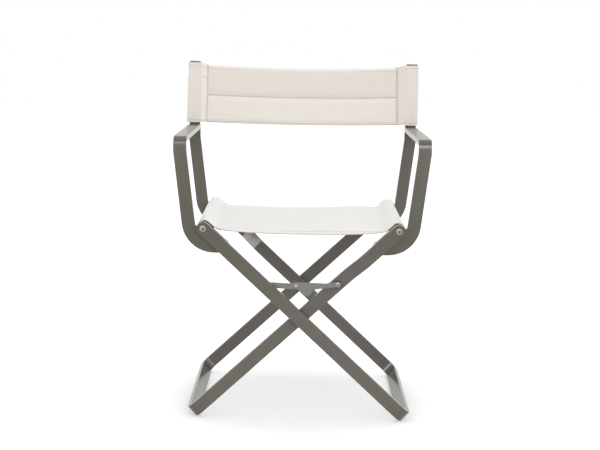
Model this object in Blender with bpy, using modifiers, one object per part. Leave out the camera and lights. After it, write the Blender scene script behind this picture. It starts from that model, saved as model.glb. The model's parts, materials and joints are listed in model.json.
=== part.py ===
"""Folding directors chair of flat bar, with a seat sling, a padded back sling and a toggle brace.

Units are metres and +Z is up. The sitter faces -Y, so the front is at -Y and the sitter's view of
left and right is mirrored: "left" here is -X, as seen by someone who stands in front of the chair.
The origin lies on the floor under the middle of the chair.
"""

import math

import bmesh
import bpy
from mathutils import Matrix, Vector

# Flat bar that the whole frame is made of
BAR_WIDTH = 0.030
BAR_THICKNESS = 0.012

# Crossed legs: straight legs lie in an outer layer, their partners step in to pass behind them
LEG_DEPTH = 0.487
PIVOT_HALF_SPAN = 0.226
PIVOT_HEIGHT = 0.453
CROSS_HEIGHT = 0.2434
LAYER_STEP = 0.020
JOGGLE_START = 0.100
JOGGLE_LENGTH = 0.064
FOOT_BEND_RADIUS = 0.029
FOOT_CORNER_CUT = 0.0015

# Arm bars and back posts
OVERALL_WIDTH = 0.593
ARM_HEIGHT = 0.6635
ARM_BEND_RADIUS = 0.020
LEAN_START_DROP = 0.034
KNEE_RADIUS = 0.0755
KNEE_INSET = 0.0250
KNEE_RISE = 0.018
EAR_SETBACK = 0.0005
EAR_FILLET = 0.003
POST_WIDTH = 0.028
POST_TOP = 0.827
POST_EDGE_RADIUS = 0.0015

# Pivots of the legs on the arm bars
PIVOT_SCREW_RADIUS = 0.004
PIVOT_HEAD_RADIUS = 0.008
PIVOT_HEAD_HEIGHT = 0.0032
PIVOT_SCREW_GRIP = 0.016
WASHER_RADIUS = 0.0125
WASHER_THICKNESS = 0.001
STOP_PIN_RADIUS = 0.0036
STOP_LUG_RADIUS = 0.0020
STOP_ABOVE_TIP = 0.003

# Seat rails
RAIL_RADIUS = 0.013
RAIL_WALL = 0.002
PLUG_LENGTH = 0.024

# Crossing bolts
CROSS_STUD_RADIUS = 0.004
CROSS_HEAD_RADIUS = 0.0075
CROSS_HEAD_HEIGHT = 0.0035
CROSS_SPACER_RADIUS = 0.009

# Toggle brace between the two front legs
TOGGLE_REACH = 0.120
KNUCKLE_OFFSET = -0.0101
KNUCKLE_DROP = 0.0038
LINK_THICKNESS = 0.0022
LINK_STANDOFF = 0.0012
LINK_BOSS_RADIUS = 0.0085
LINK_EYE_RADIUS = 0.007
LINK_HALF_WIDTH = 0.0065
LINK_SAG = 0.003
TAB_START = 0.0179
TAB_REACH = 0.0268
TAB_END = 0.0396
TAB_DEPTH = 0.0262
TOGGLE_SCREW_RADIUS = 0.0025
TOGGLE_HEAD_RADIUS = 0.0058
TOGGLE_HEAD_HEIGHT = 0.0022
TOGGLE_BUSH_RADIUS = 0.0085
RIVET_HEAD_RADIUS = 0.0045
RIVET_HEAD_HEIGHT = 0.0007

# Cloth
CLOTH_THICKNESS = 0.002
CLOTH_EASE = 0.002
SEAT_TIP_REACH = 0.0255
SEAT_TIP_DROP = 0.001
SEAT_FRONT_SAG = 0.0145
SEAT_REAR_SAG = 0.005
BACK_SEAM_INSET = 0.0225
BACK_LOW_CLEARANCE = 0.005
BACK_TOP_CLEARANCE = 0.0037
BACK_SHOULDER_DROP = 0.0053
BACK_TOP_SAG = 0.0068
BACK_LOW_SAG = 0.0045
BACK_BOW = 0.013
BACK_CHANNEL_SHARE = 0.474
PAD_THICKNESS = 0.014
PAD_SEAM_THICKNESS = 0.004
PAD_DRAW_IN = 0.030

# Clearances
SEAT_GAP = 0.0003
RUNNING_GAP = 0.0003
VIEW_MARGIN = 0.020

# Facets
ARC_STEP = math.radians(7.5)
ROUND_SIDES = 24
SMALL_SIDES = 16

# Worked out from the sizes above
LEG_ANGLE = math.atan2(PIVOT_HEIGHT - CROSS_HEIGHT, PIVOT_HALF_SPAN)
CROSS_ALONG = PIVOT_HALF_SPAN / math.cos(LEG_ANGLE)
FOOT_AXIS_HEIGHT = BAR_WIDTH / 2 * math.cos(LEG_ANGLE) - FOOT_CORNER_CUT
FOOT_ALONG = (PIVOT_HEIGHT - FOOT_AXIS_HEIGHT) / math.sin(LEG_ANGLE)
LEG_END = FOOT_ALONG - FOOT_BEND_RADIUS
ARM_LAYER = BAR_THICKNESS + WASHER_THICKNESS + 2 * SEAT_GAP
RAIL_LAYER = ARM_LAYER + BAR_THICKNESS + SEAT_GAP
ARM_CENTRE = OVERALL_WIDTH / 2 - BAR_WIDTH / 2
KNEE_CENTRE = (PIVOT_HALF_SPAN - KNEE_INSET, PIVOT_HEIGHT + KNEE_RISE)
BACK_SEAM_HALF_SPAN = ARM_CENTRE - POST_WIDTH / 2 - BACK_SEAM_INSET
POST_LAYER = ARM_LAYER
POST_MIDDLE = LEG_DEPTH / 2 - POST_LAYER - BAR_THICKNESS / 2
RIGHT_LINK_LAYER = BAR_THICKNESS + LINK_STANDOFF
LEFT_LINK_LAYER = RIGHT_LINK_LAYER + LINK_THICKNESS + SEAT_GAP
TOGGLE_X = TOGGLE_REACH * math.cos(LEG_ANGLE)
TOGGLE_Z = CROSS_HEIGHT + TOGGLE_REACH * math.sin(LEG_ANGLE)
KNUCKLE = (KNUCKLE_OFFSET, TOGGLE_Z - KNUCKLE_DROP)

LEFT, RIGHT = -1, 1
FRONT, REAR = -1, 1
SIDE_NAME = {LEFT: "left", RIGHT: "right"}
END_NAME = {FRONT: "front", REAR: "rear"}

# Colour, roughness and metallic value of each finish
FINISHES = {
    "taupe_paint": ((0.125, 0.114, 0.092), 0.42, 0.0),
    "satin_steel": ((0.55, 0.54, 0.51), 0.32, 1.0),
    "link_steel": ((0.22, 0.22, 0.21), 0.40, 1.0),
    "grey_nylon": ((0.42, 0.41, 0.39), 0.50, 0.0),
    "black_nylon": ((0.02, 0.02, 0.02), 0.45, 0.0),
    "white_cloth": ((0.86, 0.85, 0.83), 0.90, 0.0),
    "cream_cloth": ((0.80, 0.74, 0.68), 0.90, 0.0),
}


# Scene, collections and materials

for old in list(bpy.data.objects):
    bpy.data.objects.remove(old, do_unlink=True)


def new_collection(name):
    """Make a collection in the scene."""
    collection = bpy.data.collections.new(name)
    bpy.context.scene.collection.children.link(collection)
    return collection


CHAIR = new_collection("directors_chair")
CUTTERS = new_collection("cutters")


def finish_material(name):
    """Return the Principled material of one finish, made on first use."""
    material = bpy.data.materials.get(name)
    if material is None:
        colour, roughness, metallic = FINISHES[name]
        material = bpy.data.materials.new(name)
        material.use_nodes = True
        shader = material.node_tree.nodes["Principled BSDF"]
        shader.inputs["Base Color"].default_value = (*colour, 1.0)
        shader.inputs["Roughness"].default_value = roughness
        shader.inputs["Metallic"].default_value = metallic
    return material


def joint_empty(name, x, z):
    """Place an empty on a joint's axis, which runs along Y through (x, z)."""
    empty = bpy.data.objects.new(name, None)
    empty.location = (x, 0.0, z)
    empty.empty_display_size = BAR_WIDTH
    CHAIR.objects.link(empty)
    return empty


AXES = {
    "cross": joint_empty("cross_axis", 0.0, CROSS_HEIGHT),
    LEFT: joint_empty("left_pivot_axis", LEFT * PIVOT_HALF_SPAN, PIVOT_HEIGHT),
    RIGHT: joint_empty("right_pivot_axis", RIGHT * PIVOT_HALF_SPAN, PIVOT_HEIGHT),
    "toggle": joint_empty("toggle_axis", TOGGLE_X, TOGGLE_Z),
    "knuckle": joint_empty("knuckle_axis", *KNUCKLE),
}


def add_part(name, mesh, finish, axis):
    """Add a named sub-part with its finish, with its origin on its joint's axis."""
    centre = Vector(AXES[axis].location)
    mesh.transform(Matrix.Translation(-centre))
    mesh.materials.clear()
    mesh.materials.append(finish_material(finish))
    part = bpy.data.objects.new(name, mesh)
    part.parent = AXES[axis]
    CHAIR.objects.link(part)
    return part


def add_cutter(name, mesh, part):
    """Add a cutter beside the part that it shapes, in the same local frame."""
    mesh.transform(Matrix.Translation(-Vector(part.parent.location)))
    cutter = bpy.data.objects.new(name, mesh)
    cutter.parent = part.parent
    cutter.hide_render = True
    cutter.display_type = "WIRE"
    CUTTERS.objects.link(cutter)
    return cutter


def boolean(part, mesh, operation):
    """Shape a part with a second mesh."""
    modifier = part.modifiers.new(operation.lower(), "BOOLEAN")
    modifier.operation = operation
    modifier.object = add_cutter(f"{part.name}_{operation.lower()}", mesh, part)
    return part


# Outlines

def arc(centre, radius, start, end):
    """Points on an arc from one angle to another, in radians, with both ends."""
    steps = max(2, round(abs(end - start) / ARC_STEP))
    angles = [start + (end - start) * i / steps for i in range(steps + 1)]
    return [(centre[0] + radius * math.cos(a), centre[1] + radius * math.sin(a)) for a in angles]


def circle(centre, radius, sides=ROUND_SIDES):
    """A regular polygon that stands for a circle."""
    angles = [2 * math.pi * i / sides for i in range(sides)]
    return [(centre[0] + radius * math.cos(a), centre[1] + radius * math.sin(a)) for a in angles]


def mirrored(outline, side):
    """Turn distances outboard of the middle into X on one side."""
    return [(side * q, z) for q, z in outline]


def leg_point(side, along, across):
    """X and Z of a point on the leg whose top is on one side.

    along runs from the top pivot down the leg's axis, and across points to the leg's upper edge.
    """
    x = side * (PIVOT_HALF_SPAN - along * math.cos(LEG_ANGLE) - across * math.sin(LEG_ANGLE))
    z = PIVOT_HEIGHT - along * math.sin(LEG_ANGLE) + across * math.cos(LEG_ANGLE)
    return (x, z)


def cut_at_floor(outline):
    """The part of a closed outline that lies on or above the floor."""
    kept = []
    for (x0, z0), (x1, z1) in zip(outline, outline[1:] + outline[:1]):
        if z0 >= 0:
            kept.append((x0, z0))
        if (z0 > 0) != (z1 > 0) and z0 != 0 and z1 != 0:
            share = z0 / (z0 - z1)
            kept.append((x0 + share * (x1 - x0), 0.0))
    return kept


def tangent_angles(point, centre, radius):
    """The two angles on a circle where lines from an outside point touch it."""
    towards = math.atan2(point[1] - centre[1], point[0] - centre[0])
    spread = math.acos(radius / math.dist(point, centre))
    return towards - spread, towards + spread


def circles_meet(first, first_radius, second, second_radius):
    """The upper of the two points where two circles cross."""
    apart = math.dist(first, second)
    share = (first_radius ** 2 - second_radius ** 2 + apart ** 2) / (2 * apart)
    rise = math.sqrt(first_radius ** 2 - share ** 2)
    along = ((second[0] - first[0]) / apart, (second[1] - first[1]) / apart)
    foot = (first[0] + share * along[0], first[1] + share * along[1])
    meets = [(foot[0] - s * rise * along[1], foot[1] + s * rise * along[0]) for s in (1, -1)]
    return max(meets, key=lambda point: point[1])


def teardrop(centre, radius, tip, half_tip):
    """A circle drawn out to a tip that lies inboard of it, for a sewn cloth sleeve."""
    low, high = tangent_angles(tip, centre, radius)
    around = arc(centre, radius, high, low + 2 * math.pi)
    return [(tip[0], tip[1] - half_tip)] + around[::-1] + [(tip[0], tip[1] + half_tip)]


# Solids

# Each axis takes a flat outline into space and its height along that axis
TURNS = {
    "X": Matrix(((0, 0, 1), (1, 0, 0), (0, 1, 0))).to_4x4(),
    "Y": Matrix(((1, 0, 0), (0, 0, -1), (0, 1, 0))).to_4x4(),
    "Z": Matrix.Identity(4),
}


def prism(outlines, axis, low, high):
    """Extrude a flat outline, with any holes after it, between two places along an axis.

    The outline is in (Y, Z) for axis X, in (X, Z) for axis Y and in (X, Y) for axis Z.
    """
    curve = bpy.data.curves.new("outline", "CURVE")
    curve.dimensions = "2D"
    curve.fill_mode = "BOTH"
    curve.extrude = (high - low) / 2
    for outline in outlines:
        spline = curve.splines.new("POLY")
        spline.points.add(len(outline) - 1)
        for point, (a, b) in zip(spline.points, outline):
            point.co = (a, b, 0.0, 1.0)
        spline.use_cyclic_u = True
    guide = bpy.data.objects.new("outline", curve)
    CUTTERS.objects.link(guide)
    shaped = guide.evaluated_get(bpy.context.evaluated_depsgraph_get())
    mesh = bpy.data.meshes.new_from_object(shaped)
    bpy.data.objects.remove(guide, do_unlink=True)
    bpy.data.curves.remove(curve)
    middle = {"X": Vector((1, 0, 0)), "Y": Vector((0, 1, 0)), "Z": Vector((0, 0, 1))}[axis]
    mesh.transform(Matrix.Translation(middle * (low + high) / 2) @ TURNS[axis])
    shell = bmesh.new()
    shell.from_mesh(mesh)
    bmesh.ops.remove_doubles(shell, verts=shell.verts, dist=1e-6)
    bmesh.ops.recalc_face_normals(shell, faces=shell.faces)
    shell.to_mesh(mesh)
    shell.free()
    return mesh


def layer(end, start, thickness):
    """Low and high Y of a layer that starts at a depth inside the front or rear leg face."""
    near = end * (LEG_DEPTH / 2 - start)
    far = end * (LEG_DEPTH / 2 - start - thickness)
    return min(near, far), max(near, far)


def turned(profile, centre, end, depth, sides=ROUND_SIDES):
    """Turn a profile of (radius, height) about an axis along Y, with height pointing outwards.

    depth is where height 0 lies inside the front or rear leg face.
    """
    mesh = bpy.data.meshes.new("turned")
    points = [(radius, 0.0, height) for radius, height in profile]
    edges = [(i, i + 1) for i in range(len(points) - 1)]
    mesh.from_pydata(points, edges, [])
    guide = bpy.data.objects.new("turned", mesh)
    CUTTERS.objects.link(guide)
    screw = guide.modifiers.new("turn", "SCREW")
    screw.steps = sides
    screw.render_steps = sides
    screw.use_merge_vertices = True
    screw.merge_threshold = 1e-6
    shaped = guide.evaluated_get(bpy.context.evaluated_depsgraph_get())
    solid = bpy.data.meshes.new_from_object(shaped)
    bpy.data.objects.remove(guide, do_unlink=True)
    bpy.data.meshes.remove(mesh)
    place = Vector((centre[0], end * (LEG_DEPTH / 2 - depth), centre[1]))
    turn = Matrix.Rotation(-end * math.pi / 2, 4, "X")
    solid.transform(Matrix.Translation(place) @ turn)
    shell = bmesh.new()
    shell.from_mesh(solid)
    bmesh.ops.recalc_face_normals(shell, faces=shell.faces)
    shell.to_mesh(solid)
    shell.free()
    return solid


def button_head(head_radius, head_height, shank_radius, shank_length):
    """Profile of a screw with a low domed head, from the middle of the head to the shank's tip."""
    shoulder = head_height * 0.35
    crown = [(head_radius * math.cos(a), shoulder + (head_height - shoulder) * math.sin(a))
             for a in (math.radians(d) for d in (60, 30, 0))]
    return [(0.0, head_height)] + crown + [
        (head_radius, 0.0), (shank_radius, 0.0), (shank_radius, -shank_length), (0.0, -shank_length)]


def hex_socket(screw, centre, end, outer, head_radius, head_height):
    """Cut a hexagon socket into a screw head whose top lies at a depth inside the leg face."""
    low, high = layer(end, outer - head_height * 0.3, head_height * 0.9)
    boolean(screw, prism([circle(centre, head_radius * 0.36, 6)], "Y", low, high), "DIFFERENCE")


# Legs and runners

def leg_outline(side):
    """Front view of a leg: round at the pivot, then straight down to the bend of its runner."""
    half = BAR_WIDTH / 2
    end = LEG_END - SEAT_GAP
    top = arc((0.0, 0.0), half, math.pi / 2, 3 * math.pi / 2)
    return [leg_point(side, *point) for point in top + [(end, -half), (end, half)]]


def leg_hole(side, along, radius, sides=ROUND_SIDES):
    """A round hole on a leg's axis."""
    return circle(leg_point(side, along, 0.0), radius, sides)


def straight_leg(name, side, end):
    """Leg that lies flat in the outer layer."""
    holes = [leg_hole(side, 0.0, PIVOT_SCREW_RADIUS + RUNNING_GAP)]
    mesh = prism([leg_outline(side)] + holes, "Y", *layer(end, 0.0, BAR_THICKNESS))
    return add_part(name, mesh, "taupe_paint", "cross")


def joggle(along):
    """Depth of a joggled leg's outer face at a distance down the leg."""
    share = min(1.0, max(0.0, (along - JOGGLE_START) / JOGGLE_LENGTH))
    return LAYER_STEP * (1 - math.cos(math.pi * share)) / 2


def joggled_leg(name, side, end, toggle_hole=False):
    """Leg that steps in below its pivot, to pass behind the straight leg that it crosses.

    It is the front view of a leg, kept where the edge view of the stepped bar lies.
    """
    holes = [leg_hole(side, 0.0, PIVOT_SCREW_RADIUS + RUNNING_GAP),
             leg_hole(side, CROSS_ALONG, CROSS_STUD_RADIUS + RUNNING_GAP)]
    if toggle_hole:
        holes.append(leg_hole(side, CROSS_ALONG - TOGGLE_REACH, TOGGLE_SCREW_RADIUS + RUNNING_GAP))
    thickness = LAYER_STEP + BAR_THICKNESS + 2 * VIEW_MARGIN
    front_view = prism([leg_outline(side)] + holes, "Y", *layer(end, -VIEW_MARGIN, thickness))
    part = add_part(name, front_view, "taupe_paint", "cross")

    steps = 10
    stations = [JOGGLE_START + JOGGLE_LENGTH * i / steps for i in range(steps + 1)]
    stations = [-BAR_WIDTH] + stations + [LEG_END + VIEW_MARGIN]
    outer = [(along, joggle(along)) for along in stations]
    inner = [(along, depth + BAR_THICKNESS) for along, depth in reversed(outer)]
    edge_view = prism([outer + inner], "Z", -BAR_WIDTH, BAR_WIDTH)
    run = Vector((-side * math.cos(LEG_ANGLE), 0.0, -math.sin(LEG_ANGLE)))
    inward = Vector((0.0, -end, 0.0))
    across = run.cross(inward)
    place = Matrix((run, inward, across)).transposed().to_4x4()
    top = Vector((side * PIVOT_HALF_SPAN, end * LEG_DEPTH / 2, PIVOT_HEIGHT))
    edge_view.transform(Matrix.Translation(top) @ place)
    return boolean(part, edge_view, "INTERSECT")


def floor_runner(name, side, front, rear):
    """Bar along the floor, bent up at both ends to meet the legs whose outer faces lie at two depths.

    It is the sloping front view of the bar, kept where the view along its slope lies.
    """
    half = BAR_WIDTH / 2
    section = [(LEG_END, half), (FOOT_ALONG, half), (FOOT_ALONG, -half), (LEG_END, -half)]
    outline = cut_at_floor([leg_point(side, *point) for point in section])
    front_view = prism([outline], "Y", front - VIEW_MARGIN, rear + VIEW_MARGIN)
    part = add_part(name, front_view, "taupe_paint", "cross")

    inner_radius = FOOT_BEND_RADIUS - BAR_THICKNESS
    front_bend = (LEG_END, front + FOOT_BEND_RADIUS)
    rear_bend = (LEG_END, rear - FOOT_BEND_RADIUS)
    bar = [(LEG_END - VIEW_MARGIN, front)]
    bar += arc(front_bend, FOOT_BEND_RADIUS, -math.pi / 2, 0.0)
    bar += arc(rear_bend, FOOT_BEND_RADIUS, 0.0, math.pi / 2)
    bar += [(LEG_END - VIEW_MARGIN, rear), (LEG_END - VIEW_MARGIN, rear - BAR_THICKNESS)]
    bar += arc(rear_bend, inner_radius, math.pi / 2, 0.0)
    bar += arc(front_bend, inner_radius, 0.0, -math.pi / 2)
    bar += [(LEG_END - VIEW_MARGIN, front + BAR_THICKNESS)]
    bent_bar = prism([bar], "Z", -BAR_WIDTH, BAR_WIDTH)
    run = Vector((-side * math.cos(LEG_ANGLE), 0.0, -math.sin(LEG_ANGLE)))
    back = Vector((0.0, 1.0, 0.0))
    place = Matrix((run, back, run.cross(back))).transposed().to_4x4()
    top = Vector((side * PIVOT_HALF_SPAN, 0.0, PIVOT_HEIGHT))
    bent_bar.transform(Matrix.Translation(top) @ place)
    return boolean(part, bent_bar, "INTERSECT")


def crossing(end, side):
    """Stud, spacer and head where two legs cross, with the head on the inner side."""
    centre = (0.0, CROSS_HEIGHT)
    name = END_NAME[end]
    low, high = layer(end, BAR_THICKNESS + SEAT_GAP, LAYER_STEP - BAR_THICKNESS - 2 * SEAT_GAP)
    ring = [circle(centre, CROSS_SPACER_RADIUS), circle(centre, CROSS_STUD_RADIUS + RUNNING_GAP)]
    add_part(f"cross_spacer_{name}", prism(ring, "Y", low, high), "black_nylon", "cross")

    head_seat = LAYER_STEP + BAR_THICKNESS + SEAT_GAP
    length = head_seat - BAR_THICKNESS - SEAT_GAP
    profile = button_head(CROSS_HEAD_RADIUS, CROSS_HEAD_HEIGHT, CROSS_STUD_RADIUS, length)
    mesh = turned(profile, centre, -end, LEG_DEPTH - head_seat)
    add_part(f"cross_bolt_{name}", mesh, "satin_steel", "cross")


# Arm bars, rear uprights and posts

def arm_outline(side, top):
    """Front view of an arm bar: straight at the armrest, leaning, then hooked under the leg pivot.

    The hook ends in a round tip behind the leg, with a lug for the stop pin, and an ear for the pivot.
    """
    outer = OVERALL_WIDTH / 2
    lean_top = (outer, ARM_HEIGHT - LEAN_START_DROP)
    touch = tangent_angles(lean_top, KNEE_CENTRE, KNEE_RADIUS)[0]
    lean = -touch
    inner_radius = KNEE_RADIUS - BAR_WIDTH
    inner_top = (outer - BAR_WIDTH, lean_top[1] + BAR_WIDTH * math.tan(lean / 2))

    pivot = (PIVOT_HALF_SPAN, PIVOT_HEIGHT)
    ear_radius = BAR_WIDTH / 2 - EAR_SETBACK
    fillet = circles_meet(pivot, ear_radius + EAR_FILLET, KNEE_CENTRE, inner_radius - EAR_FILLET)
    fillet_on_ear = math.atan2(fillet[1] - pivot[1], fillet[0] - pivot[0])
    fillet_on_knee = math.atan2(fillet[1] - KNEE_CENTRE[1], fillet[0] - KNEE_CENTRE[0])
    upper_edge = math.pi / 2 + LEG_ANGLE

    tip = tip_centre()
    lug_arc = arc((stop_along(), BAR_WIDTH / 2), STOP_LUG_RADIUS, 0.0, math.pi)
    lug_start = math.acos((STOP_LUG_RADIUS - STOP_ABOVE_TIP) / (BAR_WIDTH / 2))
    tip_arc = arc(tip, BAR_WIDTH / 2, 3 * math.pi / 2, upper_edge + math.pi / 2 - lug_start)
    lug_outline = [leg_point(RIGHT, *point) for point in lug_arc]
    lug_root = leg_point(RIGHT, stop_along() - STOP_LUG_RADIUS, ear_radius)

    outline = [(outer, top), lean_top]
    outline += arc(KNEE_CENTRE, KNEE_RADIUS, touch, -math.pi / 2)
    outline += tip_arc + lug_outline + [lug_root]
    outline += arc(pivot, ear_radius, upper_edge, fillet_on_ear)
    outline += arc(fillet, EAR_FILLET, fillet_on_ear - math.pi, fillet_on_knee)[1:]
    outline += arc(KNEE_CENTRE, inner_radius, fillet_on_knee, touch)[1:]
    outline += [inner_top, (outer - BAR_WIDTH, top)]
    return mirrored(outline, side)


def tip_along():
    """Distance down the leg of the middle of the hook's round tip, which lies on the leg's axis."""
    height = KNEE_CENTRE[1] - KNEE_RADIUS + BAR_WIDTH / 2
    return (PIVOT_HEIGHT - height) / math.sin(LEG_ANGLE)


def tip_centre():
    """Middle of the hook's round tip, outboard distance and height."""
    return leg_point(RIGHT, tip_along(), 0.0)


def stop_along():
    """Distance down the leg of the stop pin, which rests on the leg's upper edge."""
    return tip_along() - STOP_ABOVE_TIP


def pivot_hole(side, radius):
    """A round hole at a leg pivot."""
    return circle((side * PIVOT_HALF_SPAN, PIVOT_HEIGHT), radius)


def arm_bar(side):
    """Front upright and armrest, bent from one bar.

    It is the front view of the upright, kept where the edge view of the bent bar lies.
    """
    front = -LEG_DEPTH / 2 + ARM_LAYER
    rear = LEG_DEPTH / 2 - POST_LAYER - BAR_THICKNESS - SEAT_GAP
    holes = [pivot_hole(side, PIVOT_SCREW_RADIUS + RUNNING_GAP)]
    view = prism([arm_outline(side, ARM_HEIGHT + VIEW_MARGIN)] + holes, "Y",
                 front - VIEW_MARGIN, rear + VIEW_MARGIN)
    part = add_part(f"arm_bar_{SIDE_NAME[side]}", view, "taupe_paint", side)

    bottom = KNEE_CENTRE[1] - KNEE_RADIUS - VIEW_MARGIN
    bend = (front + ARM_BEND_RADIUS, ARM_HEIGHT - ARM_BEND_RADIUS)
    outside = arc(bend, ARM_BEND_RADIUS, math.pi, math.pi / 2)
    inside = arc(bend, ARM_BEND_RADIUS - BAR_THICKNESS, math.pi / 2, math.pi)
    edge = [(front, bottom)] + outside + [(rear, ARM_HEIGHT), (rear, ARM_HEIGHT - BAR_THICKNESS)]
    edge += inside + [(front + BAR_THICKNESS, bottom)]
    reach = OVERALL_WIDTH / 2 + VIEW_MARGIN
    low, high = sorted((0.0, side * reach))
    return boolean(part, prism([edge], "X", low, high), "INTERSECT")


def rear_upright(side):
    """Rear upright with the same hook, up to the level of the armrest."""
    holes = [pivot_hole(side, PIVOT_SCREW_RADIUS + RUNNING_GAP)]
    outline = arm_outline(side, ARM_HEIGHT)
    mesh = prism([outline] + holes, "Y", *layer(REAR, ARM_LAYER, BAR_THICKNESS))
    return add_part(f"rear_upright_{SIDE_NAME[side]}", mesh, "taupe_paint", side)


def back_post(side):
    """Flat post on top of the rear upright, inside the back sling's sleeve."""
    low = ARM_HEIGHT + SEAT_GAP
    shell = bmesh.new()
    bmesh.ops.create_cube(shell, size=1.0)
    bmesh.ops.scale(shell, vec=(POST_WIDTH, BAR_THICKNESS, POST_TOP - low), verts=shell.verts)
    centre = (side * ARM_CENTRE, POST_MIDDLE, (low + POST_TOP) / 2)
    bmesh.ops.translate(shell, vec=centre, verts=shell.verts)
    mesh = bpy.data.meshes.new("post")
    shell.to_mesh(mesh)
    shell.free()
    part = add_part(f"back_post_{SIDE_NAME[side]}", mesh, "taupe_paint", side)
    bevel = part.modifiers.new("edges", "BEVEL")
    bevel.width = POST_EDGE_RADIUS
    bevel.segments = 2
    return part


# Pivots and seat rails

def pivot_set(side, end):
    """Screw, washer, stop pin and rail plug at one leg pivot."""
    where = f"{END_NAME[end]}_{SIDE_NAME[side]}"
    centre = (side * PIVOT_HALF_SPAN, PIVOT_HEIGHT)

    length = RAIL_LAYER + SEAT_GAP + PIVOT_SCREW_GRIP
    profile = button_head(PIVOT_HEAD_RADIUS, PIVOT_HEAD_HEIGHT, PIVOT_SCREW_RADIUS, length)
    screw = turned(profile, centre, end, -SEAT_GAP)
    part = add_part(f"pivot_screw_{where}", screw, "satin_steel", side)
    top = -SEAT_GAP - PIVOT_HEAD_HEIGHT
    hex_socket(part, centre, end, top, PIVOT_HEAD_RADIUS, PIVOT_HEAD_HEIGHT)

    ring = [circle(centre, WASHER_RADIUS), circle(centre, PIVOT_SCREW_RADIUS + RUNNING_GAP)]
    low, high = layer(end, BAR_THICKNESS + SEAT_GAP, WASHER_THICKNESS)
    add_part(f"pivot_washer_{where}", prism(ring, "Y", low, high), "grey_nylon", side)

    plug = [circle(centre, RAIL_RADIUS - RAIL_WALL - SEAT_GAP),
            circle(centre, PIVOT_SCREW_RADIUS + RUNNING_GAP)]
    low, high = layer(end, RAIL_LAYER, PLUG_LENGTH)
    add_part(f"rail_plug_{where}", prism(plug, "Y", low, high), "satin_steel", side)

    half_round = arc((stop_along(), BAR_WIDTH / 2 + SEAT_GAP), STOP_PIN_RADIUS, 0.0, math.pi)
    pin = [leg_point(side, *point) for point in half_round]
    low, high = layer(end, SEAT_GAP, ARM_LAYER - 2 * SEAT_GAP)
    add_part(f"stop_pin_{where}", prism([pin], "Y", low, high), "grey_nylon", side)


def seat_rail(side):
    """Tube between the front and rear hooks, inside the seat sling's sleeve."""
    centre = (side * PIVOT_HALF_SPAN, PIVOT_HEIGHT)
    ring = [circle(centre, RAIL_RADIUS), circle(centre, RAIL_RADIUS - RAIL_WALL)]
    half = LEG_DEPTH / 2 - RAIL_LAYER
    return add_part(f"seat_rail_{SIDE_NAME[side]}", prism(ring, "Y", -half, half), "taupe_paint", side)


# Toggle brace

def bar_frame(start, end):
    """A function that places (along, across) points on a link from one pin to another."""
    length = math.dist(start, end)
    run = ((end[0] - start[0]) / length, (end[1] - start[1]) / length)

    def place(along, across):
        return (start[0] + along * run[0] - across * run[1],
                start[1] + along * run[1] + across * run[0])
    return place, length


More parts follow.
